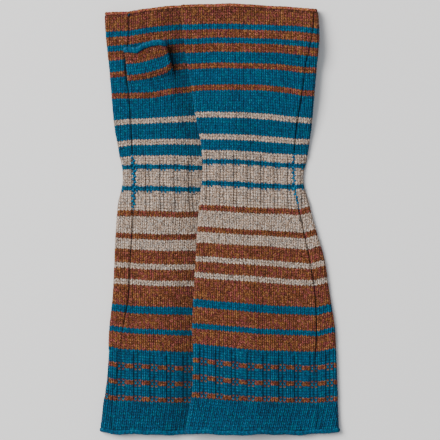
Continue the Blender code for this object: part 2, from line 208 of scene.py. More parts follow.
MADE = {}  # trees, materials and pieces that operators share


# ---------------------------------------------------------------- the shape of the cloth
def ramp(value, start, end):
    """Goes smoothly from 0 at start to 1 at end."""
    part = np.clip((value - start) / (end - start), 0.0, 1.0)
    return part * part * (3 - 2 * part)


def along(stations, course, column):
    """Reads one column of a warmer's table at any rows of stitches, on a smooth curve."""
    at = np.array([station.course for station in stations], float)
    value = np.array([getattr(station, column) for station in stations], float)
    before = np.maximum(np.arange(len(at)) - 1, 0)
    after = np.minimum(np.arange(len(at)) + 1, len(at) - 1)
    slopes = (value[after] - value[before]) / (at[after] - at[before])
    low = np.clip(np.searchsorted(at, course, side="right") - 1, 0, len(at) - 2)
    span = at[low + 1] - at[low]
    part = (course - at[low]) / span
    square, cube = part**2, part**3
    return (
        (2 * cube - 3 * square + 1) * value[low]
        + (cube - 2 * square + part) * slopes[low] * span
        + (3 * square - 2 * cube) * value[low + 1]
        + (cube - square) * slopes[low + 1] * span
    )


def wale_line(side, course):
    """X of the wale that ribs are counted from. The hem leans away to the left."""
    hem = np.maximum(course - HEM_START, 0) / (COURSES - HEM_START)
    return WALE_LINE[side] - HEM_LEAN[side] * hem**1.2


def waver(course, x):
    """How unevenly the rows lie, as hand-guided knitting does."""
    slow = np.sin(x / 8.5 + course / 9) + 0.6 * np.sin(x / 3.7 - course / 4.1)
    return WAVER * (slow + 0.5 * np.sin(x / 17 - course / 2.3))


def end_share(course, reach):
    return np.maximum(1 - ramp(course, 0, reach), ramp(course, COURSES - reach, COURSES))


def roll_stand(course):
    proud = np.where(course < COURSES / 2, FINGER_ROLL, ARM_ROLL)
    return (proud - WALL / 2) * end_share(course, 6)


def fold_height(course):
    return FOLD + ARM_FOLD * end_share(course, 8)


def shaded(distance, shadow):
    return np.exp(-(((distance - shadow.middle) / shadow.width) ** 2)) * shadow.depth


class Warmer:
    """One arm warmer: where any stitch of its tube lies."""

    def __init__(self, side, stations):
        self.side = side
        self.stations = stations
        self.thumb = THUMBS[side]

    def read(self, course, column):
        return along(self.stations, course, column)

    def length_at(self, course, x):
        """Y of a row of stitches at X, with its small waves."""
        return self.even_length(course, x) + waver(course, x) - self.pull(course, x)

    def pull(self, course, x):
        return 0.0

    def even_length(self, course, x):
        left, seam, right = (self.read(course, name) for name in ("left", "seam", "right"))
        drops = [self.read(course, f"drop_{name}") for name in ("left", "seam", "right")]
        before = (x - left) / (seam - left)
        beyond = (x - seam) / (right - seam)
        bent = self.read(course, "bow") * 4
        near = drops[0] + before * (drops[1] - drops[0])
        far = drops[1] + beyond * (drops[2] - drops[1])
        if self.side == "right":
            near = near + bent * before * (1 - before)
        else:
            far = far + bent * beyond * (1 - beyond)
        return FINGER_LINE - COURSE * course - np.where(x < seam, near, far)

    def place(self, wale, course, inset=0.0):
        """Where a stitch lies: wale counts round the tube from the table's line, course down it."""
        wale, course = np.broadcast_arrays(np.asarray(wale, float), np.asarray(course, float))
        radius = fold_height(course) / 2
        start = self.read(course, "left") + radius
        end = self.read(course, "right") - radius
        line, pitch = wale_line(self.side, course), along(PITCHES[self.side], course, "width")
        arc = math.pi * radius
        first, last = (start - line - arc) / pitch, (end - line + arc) / pitch
        wale = np.where(wale > first + WALES_ROUND, wale - WALES_ROUND, wale)
        reach = wale * pitch
        at_back = (wale > last) | (wale < first)
        round_back = np.where(wale > last, wale, wale + WALES_ROUND)
        back = (round_back - last) / (WALES_ROUND + first - last)
        x = np.clip(line + reach, start, end)
        x = np.where(at_back, end + (start - end) * np.clip(back, 0, 1), x)
        y = self.length_at(course, x)
        low = self.underside(course, x, y)
        high = self.topside(course, x, y) + 2 * radius
        swell = self.swelling(course, x, y)
        turned = np.clip((line + reach - end) / radius, 0, math.pi)
        turned = np.where(line + reach < start, np.clip((start - line - reach) / radius, 0, math.pi), turned)
        way = np.where(line + reach < start, -1.0, 1.0)
        at_fold = ~at_back & ((line + reach > end) | (line + reach < start))
        middle, half = (low + high) / 2, (high - low) / 2
        z = np.where(at_back, low + inset, high + swell - inset)
        fold_z = middle + np.cos(turned) * (half - inset) + swell * (1 + np.cos(turned)) / 2
        z = np.where(at_fold, fold_z, z)
        x = np.where(at_fold, x + way * np.sin(turned) * (radius - inset), x)
        return np.stack([x, y, z], -1)

    def light(self, course, x, y):
        """How much light reaches a place that others lie beside."""
        return np.ones_like(x)

    def creases(self, x, y):
        height = np.zeros_like(x)
        for crease in CREASES:
            if crease.side != self.side:
                continue
            turn = math.radians(crease.turn)
            off_x, off_y = x - crease.x, y - crease.y
            lengthwise = (off_x * math.cos(turn) + off_y * math.sin(turn)) / crease.length
            sideways = (off_y * math.cos(turn) - off_x * math.sin(turn)) / crease.width
            sideways = sideways + 0.35 * np.sin(3.1 * lengthwise + crease.width)
            height = height + crease.depth * np.exp(-4 * lengthwise**2 - 2 * sideways**2)
        return height


class LeftWarmer(Warmer):
    """The warmer that lies on the table, with its right side hidden."""

    def underside(self, course, x, y):
        return roll_stand(course)

    topside = underside

    def pull(self, course, x):
        """The rows of stitches under the thumb sag with its weight."""
        across = ((x - self.thumb.base_x + 3) / 13) ** 2
        return THUMB_PULL * np.exp(-across - ((course - 30.5) / 5.5) ** 2)

    def swelling(self, course, x, y):
        left = self.read(course, "left") + FOLD / 2
        edge = along(RIGHT_STATIONS, course, "left")
        bulge = np.sin(math.pi * np.clip((x - left) / (edge + 2 - left), 0, 1))
        hollow = np.exp(-(((x - edge + VALLEY) / VALLEY_WIDTH) ** 2))
        swell = bulge * np.maximum(PUFFED, MOUTH * end_share(course, 12)) - VALLEY_DEPTH * hollow
        return swell + self.creases(x, y) * bulge**0.5 + self.thumb_mound(x, y)

    def thumb_mound(self, x, y):
        """The hand rises a little to meet the front of its thumb."""
        forward, across = thumb_ways(self.thumb, x, y)
        wide = ramp(across, -self.thumb.base_half - 1, -self.thumb.base_half + 2)
        wide = wide * (1 - ramp(across, self.thumb.base_half - 6, self.thumb.base_half + 4))
        return THUMB_MOUND * wide * ramp(forward, -18, 2) * (1 - ramp(forward, 3, 9))

    def light(self, course, x, y):
        edge = along(RIGHT_STATIONS, course, "left")
        beside = shaded(x - edge, EDGE_SHADOW)
        forward, across = thumb_ways(self.thumb, x, y)
        level = ramp(forward, 0, 8) * (1 - ramp(forward, 26, 34))
        off = np.abs(across) - self.thumb.base_half + 1.6 * forward / thumb_line(self.thumb)[0]
        close, wide = shaded(off, CLOSE_SHADOW), shaded(off, WIDE_SHADOW) * (across > 0)
        return LEFT_LIT * (1 - beside) * (1 - close * level) * (1 - wide * level)


class RightWarmer(Warmer):
    """The warmer on top, over the left one and over its own thumb."""

    def lying_height(self, course, x, y, ease):
        left_edge = along(LEFT_STATIONS, course, "right")
        over_left = fold_height(course) + 3 * roll_stand(course) + CLEAR
        over_left = over_left * (1 - ramp(x, left_edge + 1, left_edge + 1 + ease * DRAPE))
        return np.maximum(over_left, self.over_thumb(x, y, ease)) + roll_stand(course)

    def underside(self, course, x, y):
        return self.lying_height(course, x, y, 1)

    def topside(self, course, x, y):
        return self.lying_height(course, x, y, BRIDGE)

    def over_thumb(self, x, y, ease):
        thumb = self.thumb
        length, _ = thumb_line(thumb)
        forward, across = thumb_ways(thumb, x, y)
        height = THUMB_HEIGHT / 2 + THUMB_BEND + CLEAR
        height = height + THUMB_STEP * ramp(forward, length - 14, length - 4)
        height = height * ramp(forward, -4 - BASE_EASE * ease, -4)
        height = height * (1 - ramp(forward, length + 5, length + 5 + MOUTH_EASE * ease))
        beside = thumb.base_half + 2
        return height * (1 - ramp(np.abs(across), beside, beside + SIDE_EASE * ease))

    def swelling(self, course, x, y):
        left, right = self.read(course, "left"), self.read(course, "right")
        bulge = np.sin(math.pi * np.clip((x - left) / (right - left), 0, 1))
        swell = bulge * np.maximum(PUFF, MOUTH * end_share(course, 12))
        return swell + self.creases(x, y) * bulge**0.5


def thumb_line(thumb):
    """A thumb's length, and its direction from base to mouth."""
    off_x, off_y = thumb.mouth_x - thumb.base_x, thumb.mouth_y - thumb.base_y
    length = math.hypot(off_x, off_y)
    return length, (off_x / length, off_y / length)


def thumb_ways(thumb, x, y):
    """How far a place lies along a thumb from its base, and across it."""
    _, way = thumb_line(thumb)
    off_x, off_y = x - thumb.base_x, y - thumb.base_y
    return off_x * way[0] + off_y * way[1], off_x * way[1] - off_y * way[0]


WARMERS = {"left": LeftWarmer("left", LEFT_STATIONS), "right": RightWarmer("right", RIGHT_STATIONS)}


def frame_shift():
    """From the tables' origin to the frame's, in metres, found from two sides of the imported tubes."""
    last_ring, first_ring = 154.1, 1.3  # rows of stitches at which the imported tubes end
    low_x = float(along(LEFT_STATIONS, last_ring, "left")) * MM
    right = WARMERS["right"]
    radius = fold_height(first_ring) / 2
    start, end = right.read(first_ring, "left") + radius, right.read(first_ring, "right") - radius
    high_y = float(right.even_length(first_ring, np.linspace(start, end, 15)).max()) * MM
    return Vector(
        (
            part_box("left_arm_tube")[0][0] - low_x,
            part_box("right_arm_tube")[1][1] - high_y,
            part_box("left_arm_tube")[0][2],
        )
    )


SHIFT = frame_shift()


# ---------------------------------------------------------------- node trees, written as expressions
class Wire:
    """A value in a node tree that can be worked on like a number."""

    def __init__(self, tree, socket):
        self.tree = tree
        self.socket = socket

    def maths(self, operation, *values):
        node = self.tree.nodes.new("ShaderNodeMath")
        node.operation = operation
        for socket, value in zip(node.inputs, values):
            plug(self.tree, socket, value)
        return Wire(self.tree, node.outputs[0])

    def __neg__(self):
        return self.maths("MULTIPLY", self, -1.0)

    def falling(self):
        """e to the minus this."""
        return self.maths("POWER", math.e, -self)

    def between(self, low, high):
        return self.maths("MINIMUM", self.maths("MAXIMUM", self, low), high)


def worked(operation, swapped=False):
    """A method that adds one Math node, on this value alone or with another."""

    def method(wire, *others):
        return wire.maths(operation, *((*others, wire) if swapped else (wire, *others)))

    return method


for name, operation in (
    ("__add__", "ADD"),
    ("__radd__", "ADD"),
    ("__sub__", "SUBTRACT"),
    ("__mul__", "MULTIPLY"),
    ("__rmul__", "MULTIPLY"),
    ("__truediv__", "DIVIDE"),
    ("__pow__", "POWER"),
    ("__abs__", "ABSOLUTE"),
    ("__lt__", "LESS_THAN"),
    ("__gt__", "GREATER_THAN"),
    ("fract", "FRACT"),
    ("floor", "FLOOR"),
    ("cosine", "COSINE"),
    ("root", "SQRT"),
):
    setattr(Wire, name, worked(operation))
Wire.__rsub__ = worked("SUBTRACT", swapped=True)


def plug(tree, socket, value):
    if isinstance(value, Wire):
        tree.links.new(value.socket, socket)
    else:
        socket.default_value = value


class Nodes:
    """Adds nodes to one tree."""

    def __init__(self, tree):
        self.tree = tree

    def add(self, kind, inputs=None, **settings):
        """Adds a node: its settings first, then the values or links of its sockets, by name or number."""
        node = self.tree.nodes.new(kind)
        for name, value in settings.items():
            setattr(node, name, value)
        for key, value in (inputs or {}).items():
            plug(self.tree, node.inputs[key], value)
        return node

    def wire(self, node, output=0):
        return Wire(self.tree, node.outputs[output])

    def scaled(self, vector, factor):
        return self.wire(self.add("ShaderNodeVectorMath", {0: vector, 3: factor}, operation="SCALE"))

    def mix(self, factor, first, second, blend="MIX"):
        """Mixes two colours."""
        node = self.add("ShaderNodeMix", data_type="RGBA", blend_type=blend)
        plug(self.tree, node.inputs[0], factor)
        plug(self.tree, node.inputs[6], first)
        plug(self.tree, node.inputs[7], second)
        return self.wire(node, 2)

    def combine(self, x, y, z=0.0):
        return self.wire(self.add("ShaderNodeCombineXYZ", {0: x, 1: y, 2: z}))


def opaque(colour):
    return (*colour, 1.0)


# ---------------------------------------------------------------- stitches, the same in mesh and in material
def leg_profile(wale, course):
    """From 0 in the gaps between stitches to 1 on top of a leg. Two legs make each V of a knit wale."""
    from_middle = abs(wale.fract() - 0.5)
    across = (1 - (from_middle * 4 - 1) ** 2).between(0.0, 1.0).root()
    across = across + (1 - across) * ((from_middle * 7) ** 2).falling() * 0.35
    lengthwise = 1 - abs(course.fract() * 2 - 1) ** 3
    return across * (0.66 + lengthwise * 0.34)


def purl_profile(wale, course):
    """The same for the level bumps of a purl wale."""
    across = 1 - abs(wale.fract() * 2 - 1) ** 3
    lengthwise = 1 - abs(course.fract() * 2 - 1) ** 2
    return (0.15 + across * 0.85) * (0.45 + lengthwise * 0.55)


def rib_line(wale):
    """The narrow line at the right of every pair of knit wales, from 0 to 1: a groove in the mesh and painted
    shade in the material.
    """
    turn = (wale / RIB_REPEAT + 0.5).fract() - 0.5
    return ((turn * (RIB_REPEAT / 0.18)) ** 2).falling()


def rib_profile(wale):
    """From -1 on two purl wales to 1 on two knit wales."""
    turn = ((wale - 1) * (math.tau / RIB_REPEAT)).cosine()
    return (-turn * 1.7).between(-1.0, 1.0)


def new_group(name, inputs):
    """A Geometry Nodes tree with named inputs: its node adder and what the inputs give."""
    tree = bpy.data.node_groups.new(name, "GeometryNodeTree")
    tree.interface.new_socket("Geometry", in_out="INPUT", socket_type="NodeSocketGeometry")
    tree.interface.new_socket("Geometry", in_out="OUTPUT", socket_type="NodeSocketGeometry")
    for label, kind in inputs:
        tree.interface.new_socket(label, in_out="INPUT", socket_type=f"NodeSocket{kind}")
    adder = Nodes(tree)
    start = adder.add("NodeGroupInput")
    values = {label: Wire(tree, start.outputs[label]) for label, _ in inputs}
    values["Geometry"] = Wire(tree, start.outputs["Geometry"])
    return adder, values


def close_group(adder, shape, material):
    """Every tree ends with realized instances and a material."""
    solid = adder.wire(adder.add("GeometryNodeRealizeInstances", {"Geometry": shape}))
    dressed = adder.wire(adder.add("GeometryNodeSetMaterial", {"Geometry": solid, "Material": material}))
    adder.add("NodeGroupOutput", {0: dressed})
    return adder.tree


def named(adder, name, kind="FLOAT"):
    node = adder.add("GeometryNodeInputNamedAttribute", {"Name": name}, data_type=kind)
    return adder.wire(node)


# The named inputs of the tree below are these settings
RELIEF = (
    "leg_height", "purl_height", "rib_rise", "rib_sink", "rib_line", "seam_depth", "edge_tuck", "uneven",
)


def label_of(setting):
    return setting.replace("_", " ").capitalize()


def stitch_tree():
    """Raises stitches, ribs and the seam's groove out of a smooth shell."""
    inputs = [(label_of(setting), "Float") for setting in RELIEF]
    adder, given = new_group("Stitches", inputs + [("Material", "Material")])
    wale, course, purl, rib, seam, show, edge = (
        named(adder, name) for name in ("wale", "course", "purl", "rib", "seam", "show", "edge")
    )
    legs = leg_profile(wale, course) * given["Leg height"]
    bumps = purl_profile(wale, course) * given["Purl height"]
    ribs = rib_profile(wale)
    steps = ribs.between(0.0, 1.0) * given["Rib rise"] + ribs.between(-1.0, 0.0) * given["Rib sink"]
    steps = (steps - rib_line(wale) * given["Rib line"]) * rib
    beside = abs(seam)
    groove = ((beside / 0.6) ** 2).falling() * given["Seam depth"]
    groove = groove - ((beside - 2.2) ** 2).falling() * 0.25
    where = adder.combine(wale * 0.8, course * 0.5)
    noise = adder.wire(
        adder.add("ShaderNodeTexNoise", {"Vector": where, "Scale": 1.0, "Detail": 2.0}, noise_dimensions="2D")
    )
    lumps = (noise - 0.5) * given["Uneven"]
    tuck = ((edge / 0.55) ** 2).falling() * given["Edge tuck"]
    height = (legs * (1 - purl) + bumps * purl + steps + lumps) * show - groove - tuck
    push = adder.scaled(named(adder, "out", "FLOAT_VECTOR"), height * MM)
    moved = adder.wire(adder.add("GeometryNodeSetPosition", {"Geometry": given["Geometry"], "Offset": push}))
    place = adder.wire(adder.add("GeometryNodeInputPosition"))
    parts = adder.add("ShaderNodeSeparateXYZ", {0: place})
    x, y, level = (adder.wire(parts, axis) for axis in range(3))
    raised = adder.combine(x, y, level.maths("MAXIMUM", level, TABLE_Z))
    rested = adder.wire(adder.add("GeometryNodeSetPosition", {"Geometry": moved, "Position": raised}))
    return close_group(adder, rested, given["Material"])


def strand_tree():
    """Lays a pair of short slanted strands at every point, along its path."""
    adder, given = new_group(
        "Strands",
        [(label, "Float") for label in ("Length", "Radius", "Slant", "Spread")] + [("Material", "Material")],
    )
    ball = adder.wire(adder.add("GeometryNodeMeshUVSphere", {"Segments": 8, "Rings": 5, "Radius": 1.0}))
    size = adder.combine(given["Length"] / 2 * MM, given["Radius"] * MM, given["Radius"] * MM)
    joined = adder.add("GeometryNodeJoinGeometry")
    for way in (1, -1):
        placed = {
            "Geometry": ball,
            "Translation": adder.combine(0.0, given["Spread"] * (way * MM), 0.0),
            "Rotation": adder.combine(0.0, 0.0, given["Slant"] * way),
            "Scale": size,
        }
        plug(adder.tree, joined.inputs[0], adder.wire(adder.add("GeometryNodeTransform", placed)))
    axes = adder.add(
        "FunctionNodeAxesToRotation",
        {0: named(adder, "tangent", "FLOAT_VECTOR"), 1: named(adder, "out", "FLOAT_VECTOR")},
        primary_axis="X",
        secondary_axis="Z",
    )
    jitter = adder.wire(
        adder.add("FunctionNodeRandomValue", {2: 0.88, 3: 1.12, "Seed": 7}, data_type="FLOAT"), 1
    )
    laid = adder.add(
        "GeometryNodeInstanceOnPoints",
        {
            "Points": given["Geometry"],
            "Instance": adder.wire(joined),
            "Rotation": adder.wire(axes),
            "Scale": named(adder, "size") * jitter,
        },
    )
    smooth = adder.add("GeometryNodeSetShadeSmooth", {"Geometry": adder.wire(laid)})
    return close_group(adder, adder.wire(smooth), given["Material"])


def finished(thing, tree, values):
    """Runs a tree on an object and keeps the result as its plain mesh."""
    modifier = thing.modifiers.new(tree.name, "NODES")
    modifier.node_group = tree
    for socket in tree.interface.items_tree:
        if socket.name in values:
            modifier[socket.identifier] = values[socket.name]
    depsgraph = bpy.context.evaluated_depsgraph_get()
    mesh = bpy.data.meshes.new_from_object(
        thing.evaluated_get(depsgraph), preserve_all_data_layers=True, depsgraph=depsgraph
    )
    thing.modifiers.remove(modifier)
    thing.data = mesh
    mesh.name = thing.name
    if not mesh.polygons:
        raise RuntimeError(f"{thing.name} came out empty")
    return thing


# ---------------------------------------------------------------- shells of cloth, before their stitches
TABLE_Z = 0.00002  # metres; nothing goes below this
SHOWN_STEPS = 8  # columns of faces in a wale that shows
HIDDEN_STEPS = 4
ROW_STEPS = 3  # rows of faces in a row of stitches
INNER_COURSES = 7  # rows of stitches between rows of faces inside a tube
HAND_LEAN, ARM_LEAN = 0.9, 1.15  # how steeply the legs of a V slope, in rows of stitches for each wale
HIDDEN_SHARE = 0.4  # how much of their height stitches out of sight keep
FIRST_COURSE, LAST_COURSE = 1.0, 154.0  # where the edge bands take over
AWAY = 99.0  # a distance from the seam that means nowhere near it


def wale_columns(side):
    """Wales at which a tube gets a line of points, and how much of the stitches' height each gets."""
    first, last = SHOWING_WALES[side]
    shown = np.arange(first * SHOWN_STEPS, last * SHOWN_STEPS) / SHOWN_STEPS
    hidden = np.arange(last * HIDDEN_STEPS, (first + WALES_ROUND) * HIDDEN_STEPS) / HIDDEN_STEPS
    wales = np.concatenate([shown, hidden])
    seen = 1 - ramp(wales, last, last + 2) + ramp(wales, first + WALES_ROUND - 2, first + WALES_ROUND)
    return wales, HIDDEN_SHARE + (1 - HIDDEN_SHARE) * seen


def in_purl(wale):
    """True strictly inside the two purl wales of a rib."""
    turn = np.mod(wale, RIB_REPEAT)
    return (turn > 0) & (turn < RIB_REPEAT / 2)


def sheared(wale, course, share):
    """Where a point of the even grid of stitches goes, so that the rows of faces follow the legs."""
    from_middle = np.abs(np.mod(wale, 1) - 0.5)
    lean = HAND_LEAN + (ARM_LEAN - HAND_LEAN) * ramp(course, 20, 70)
    return course - lean * (from_middle - 0.25) * share


def unit(vectors):
    return vectors / np.linalg.norm(vectors, axis=-1, keepdims=True)


def outward(place, wale, course, inset=0.0):
    """The direction straight out of the cloth."""
    step = 0.2
    round_it = place(wale + step, course, inset) - place(wale - step, course, inset)
    down_it = place(wale, course + step, inset) - place(wale, course - step, inset)
    normal = np.cross(down_it, round_it)
    return normal / np.maximum(np.linalg.norm(normal, axis=-1, keepdims=True), 1e-9)


CORNERS = ((0, 0), (1, 0), (1, 1), (0, 1))  # of a face: steps across and down


def grid_faces(rows, count, start=0, closed_rows=False):
    """Quads of a grid of points whose columns go right round."""
    row, column = np.arange(rows if closed_rows else rows - 1), np.arange(count)
    corners = [((row + j) % rows)[:, None] * count + (column + i) % count for i, j in CORNERS]
    return start + np.stack(corners, -1).reshape(-1, 4)


def write_attribute(mesh, name, values, domain="POINT", kind="FLOAT"):
    field = "vector" if kind == "FLOAT_VECTOR" else "value"
    attribute = mesh.attributes.new(name, kind, domain)
    attribute.data.foreach_set(field, np.ascontiguousarray(values, np.float32).ravel())


def write_map(mesh, name, values):
    layer = mesh.uv_layers.new(name=name)
    layer.uv.foreach_set("vector", np.ascontiguousarray(values, np.float32).ravel())


def on_corners(across, down, order):
    """A map's places at the corners of a grid's faces, from its places across and down."""
    left, top = np.meshgrid(np.arange(len(across) - 1), np.arange(len(down) - 1))
    places = np.stack([np.stack([across[left + i], down[top + j]], -1) for i, j in order], 2)
    return places.reshape(-1, 4, 2)


def add_points(mesh, points):
    """Puts points, in millimetres, in the frame's place."""
    mesh.vertices.add(len(points))
    places = points * MM + np.array(SHIFT)
    mesh.vertices.foreach_set("co", np.ascontiguousarray(places, np.float32).ravel())


def new_object(name, data):
    thing = bpy.data.objects.new(name, data)
    bpy.context.scene.collection.objects.link(thing)
    return thing


def quad_mesh(name, points, quads):
    """A mesh of quads only, in the frame's place."""
    mesh = bpy.data.meshes.new(name)
    add_points(mesh, points)
    mesh.loops.add(quads.size)
    mesh.loops.foreach_set("vertex_index", quads.ravel().astype(np.int32))
    mesh.polygons.add(len(quads))
    mesh.polygons.foreach_set("loop_start", np.arange(0, quads.size, 4, dtype=np.int32))
    mesh.update(calc_edges=True)
    mesh.polygons.foreach_set("use_smooth", np.ones(len(quads), bool))
    return mesh


def mark_ends(mesh, ends):
    """Makes the edges round a shell's rims sharp."""
    pairs = np.empty(len(mesh.edges) * 2, np.int32)
    mesh.edges.foreach_get("vertices", pairs)
    pairs = pairs.reshape(-1, 2)
    marked = ends[pairs]
    sharp = (marked[:, 0] > 0) & (marked[:, 0] == marked[:, 1])
    write = mesh.attributes.new("sharp_edge", "BOOLEAN", "EDGE")
    write.data.foreach_set("value", sharp)


# Point attributes of a shell, with what they are on its inner wall
INNER_VALUES = {"purl": 0.0, "rib": 0.0, "seam": AWAY, "lit": 0.5, "show": 0.0, "edge": AWAY}


def knit_shell(name, place, wales, around, rows, share, grids, yarn, cut):
    """One closed shell of knitting: an outer wall with stitches' rows, an inner wall and two rims.

    place gives the points of a wale, a course and an inset. share is how far each point shares in the
    legs' lean, and grids the point attributes, all on rows by columns. yarn is a grid of faces, and cut
    the outer wall's share of the flat map that it is painted on.
    """
    count = len(wales)
    wale_grid, course_grid = np.broadcast_arrays(wales[None, :], rows[:, None])
    geometry = sheared(wale_grid, course_grid, share)
    outer = place(wale_grid, geometry, 0.0)
    normals = outward(place, wale_grid, geometry)
    steps = max(2, int(math.ceil((rows[-1] - rows[0]) / INNER_COURSES)) + 1)
    inner_rows = np.linspace(rows[0], rows[-1], steps)
    inner_geometry = np.repeat(inner_rows[:, None], count, 1)
    inner_geometry[0], inner_geometry[-1] = geometry[0], geometry[-1]
    inner = place(np.broadcast_to(wales, inner_geometry.shape), inner_geometry, WALL)
    outside, inside = len(rows) * count, steps * count
    quads = [grid_faces(len(rows), count), grid_faces(steps, count, outside)[:, ::-1]]
    ring = np.arange(count)
    after = (ring + 1) % count
    for outer_row, inner_row, turned in ((0, 0, True), (len(rows) - 1, steps - 1, False)):
        out_start, in_start = outer_row * count, outside + inner_row * count
        rim = np.stack([out_start + ring, out_start + after, in_start + after, in_start + ring], -1)
        quads.append(rim[:, ::-1] if turned else rim)
    faces = np.concatenate(quads)[:, ::-1]
    points = np.concatenate([outer.reshape(-1, 3), inner.reshape(-1, 3)])
    mesh = quad_mesh(name, points, faces)

    def on_points(grid, within=0.0):
        return np.concatenate([np.broadcast_to(grid, wale_grid.shape).ravel(), np.full(inside, within)])

    write_attribute(mesh, "wale", on_points(wale_grid))
    write_attribute(mesh, "course", on_points(course_grid))
    for label, within in INNER_VALUES.items():
        write_attribute(mesh, label, on_points(grids[label], within))
    away = np.concatenate([normals.reshape(-1, 3), np.zeros((inside, 3))])
    write_attribute(mesh, "out", away, kind="FLOAT_VECTOR")

    inner_yarn = yarn[np.minimum((np.arange(steps - 1) * len(yarn)) // (steps - 1), len(yarn) - 1)]
    face_yarn = np.concatenate([yarn.ravel(), inner_yarn.ravel(), yarn[0], yarn[-1]])
    write_attribute(mesh, "yarn", face_yarn, "FACE")
    purl = grids["purl"]
    purl_faces = np.maximum(purl[:-1], np.roll(purl, -1, 1)[:-1])
    others = np.zeros(len(faces) - purl_faces.size)
    write_attribute(mesh, "purl_face", np.concatenate([purl_faces.ravel(), others]), "FACE")

    # Maps: stitch counts wales and courses; OFBake lays one wall after the other on a square
    ends = np.append(wales, around + wales[0])
    span = (ends - ends[0]) / around
    stitch, laid = [], []
    for levels, order, base, part in ((rows, CORNERS[::-1], 0.0, cut), (inner_rows, CORNERS, cut, 1 - cut)):
        tall = (levels - levels[0]) / (levels[-1] - levels[0])
        stitch.append(on_corners(ends, levels, order))
        laid.append(on_corners(span, base + tall * part * 0.98 + 0.004, order))
    rim_stitch, rim_laid = np.zeros((2 * count, 4, 2)), np.zeros((2 * count, 4, 2))
    rim_stitch[:, :, 0] = np.tile(ends[:-1], 2)[:, None] + 0.25
    rim_stitch[:, :, 1] = np.repeat([rows[0] + 0.5, rows[-1] - 0.5], count)[:, None]
    across = np.tile(np.arange(count) / count, 2)
    for corner, (i, j) in enumerate(CORNERS):
        rim_laid[:, corner, 0] = across + i / count
        rim_laid[:, corner, 1] = 0.996 + 0.002 * j + np.repeat([0, 0.002], count)
    write_map(mesh, "stitch", np.concatenate([*stitch, rim_stitch]))
    write_map(mesh, "OFBake", np.concatenate([*laid, rim_laid]))
    mesh.uv_layers.active = mesh.uv_layers["stitch"]
    mesh.uv_layers["stitch"].active_render = True

    # the points round each end of each wall get a number of their own
    flags = np.zeros(len(points), int)
    flags[:count] = 1
    flags[outside - count : outside] = 2
    flags[outside : outside + count] = 3
    flags[-count:] = 4
    mark_ends(mesh, flags)
    return new_object(name, mesh)


def zone_grids(zone, wales):
    """Rows of points of a zone, how far each point shares in the legs' lean, its purl wales and its rib."""
    first, last = max(zone.start, FIRST_COURSE), min(zone.end, LAST_COURSE)
    rows = np.linspace(first, last, int(round((last - first) * ROW_STEPS)) + 1)
    rib = np.zeros(len(rows))
    if zone.ribbed:
        rib = ramp(rows, zone.start, zone.start + 2) * (1 - ramp(rows, zone.end - 1, zone.end))
    inside = in_purl(wales)
    share = (1 - inside[None, :] * rib[:, None]) * (1 - 0.4 * rib[:, None])
    ends = ramp(rows, FIRST_COURSE, FIRST_COURSE + 1.5) * (1 - ramp(rows, LAST_COURSE - 2, LAST_COURSE))
    share = share * ends[:, None]
    purl = inside[None, :] * rib[:, None]
    return rows, share, purl, np.repeat(rib[:, None], len(wales), 1)


def yarn_grid(rows, wales, stripes, purl, narrowed):
    """The yarn of every face. In a purl wale a thin stripe turns into rows of dashes.

    narrowed marks the rows of a rib, where a thin stripe also starts late on the knit wales.
    """
    laid = [stripe for stripe in stripes for _ in range(stripe.rows)]
    yarns = np.array([stripe.yarn for stripe in laid])
    thin = np.array([stripe.rows == 2 for stripe in laid])
    middle = (rows[:-1] + rows[1:])[:, None] / 2
    course, part = np.floor(middle).astype(int), middle % 1
    across = np.mod(wales + 0.06, 1)[None, :]
    ribbed, in_bump = purl[:-1] > 0.3, (across > 0.2) & (across < 0.8)

    def read(table, step):
        return table[np.clip(course + step, 0, len(table) - 1)]

    before, here = read(thin, -1), read(thin, 0)
    ground = np.where(here, np.where(before, read(yarns, 1), read(yarns, -1)), read(yarns, 0))
    plain = np.where((part < 0.4) & narrowed[:-1, None] & here & ~before, ground, read(yarns, 0))
    # dashes lie in three staggered lines, one to a row of stitches, and in the wrist the stripe is also
    # filled
    third = 3 * np.where(here, before * 1, 2) + np.floor(part * 3)
    staggered = (third > 2) & (third < 5)
    dashed = (here | before) & (third % 3 < 2) & (in_bump != staggered)
    filled = here & (third > 0) & (course < WRIST_END)
    stripe = np.where(here, read(yarns, 0), read(yarns, -1))
    return np.where(ribbed, np.where(dashed | filled, stripe, ground), plain)


def seam_fade(side, course):
    """How far the side seam is lost among the stitches: not at all at 0."""
    if side == "left":
        return 0.1 * (1 - ramp(course, 14, 24)) + 0.38 * ramp(course, 108, 130)
    return 0.1 * (1 - ramp(course, 20, 32)) + 0.34 * ramp(course, 118, 142)


def seam_grid(warmer, wales, rows, points):
    """Distance of every point on the front from the side seam, more where the seam is lost."""
    seam = warmer.read(rows, "seam")[:, None]
    line = wale_line(warmer.side, rows)[:, None]
    last = (warmer.read(rows, "right")[:, None] - line) / along(PITCHES[warmer.side], rows, "width")[:, None]
    on_front = (wales[None, :] < last + 1) & (points[..., 2] > 0)
    away = np.abs(points[..., 0] - seam) + seam_fade(warmer.side, rows)[:, None]
    return np.where(on_front, away, AWAY)


def knit_zone(zone, side, sizes, material):
    warmer = WARMERS[side]
    wales, show = wale_columns(side)
    rows, share, purl, rib = zone_grids(zone, wales)
    wale_grid, course_grid = np.broadcast_arrays(wales[None, :], rows[:, None])
    points = warmer.place(wale_grid, sheared(wale_grid, course_grid, share))
    grids = {
        "show": show[None, :],
        "purl": purl,
        "rib": rib,
        "seam": seam_grid(warmer, wales, rows, points),
        "edge": np.minimum(rows - FIRST_COURSE, LAST_COURSE - rows + 0.65)[:, None],
        "lit": warmer.light(course_grid, points[..., 0], points[..., 1]),
    }
    yarn = yarn_grid(rows, wales, STRIPES, purl, rib[:, 0] > 0.5)
    name = f"{side}_{zone.name}"
    thing = knit_shell(name, warmer.place, wales, WALES_ROUND, rows, share, grids, yarn, 0.86)
    return stitched(thing, sizes, material)


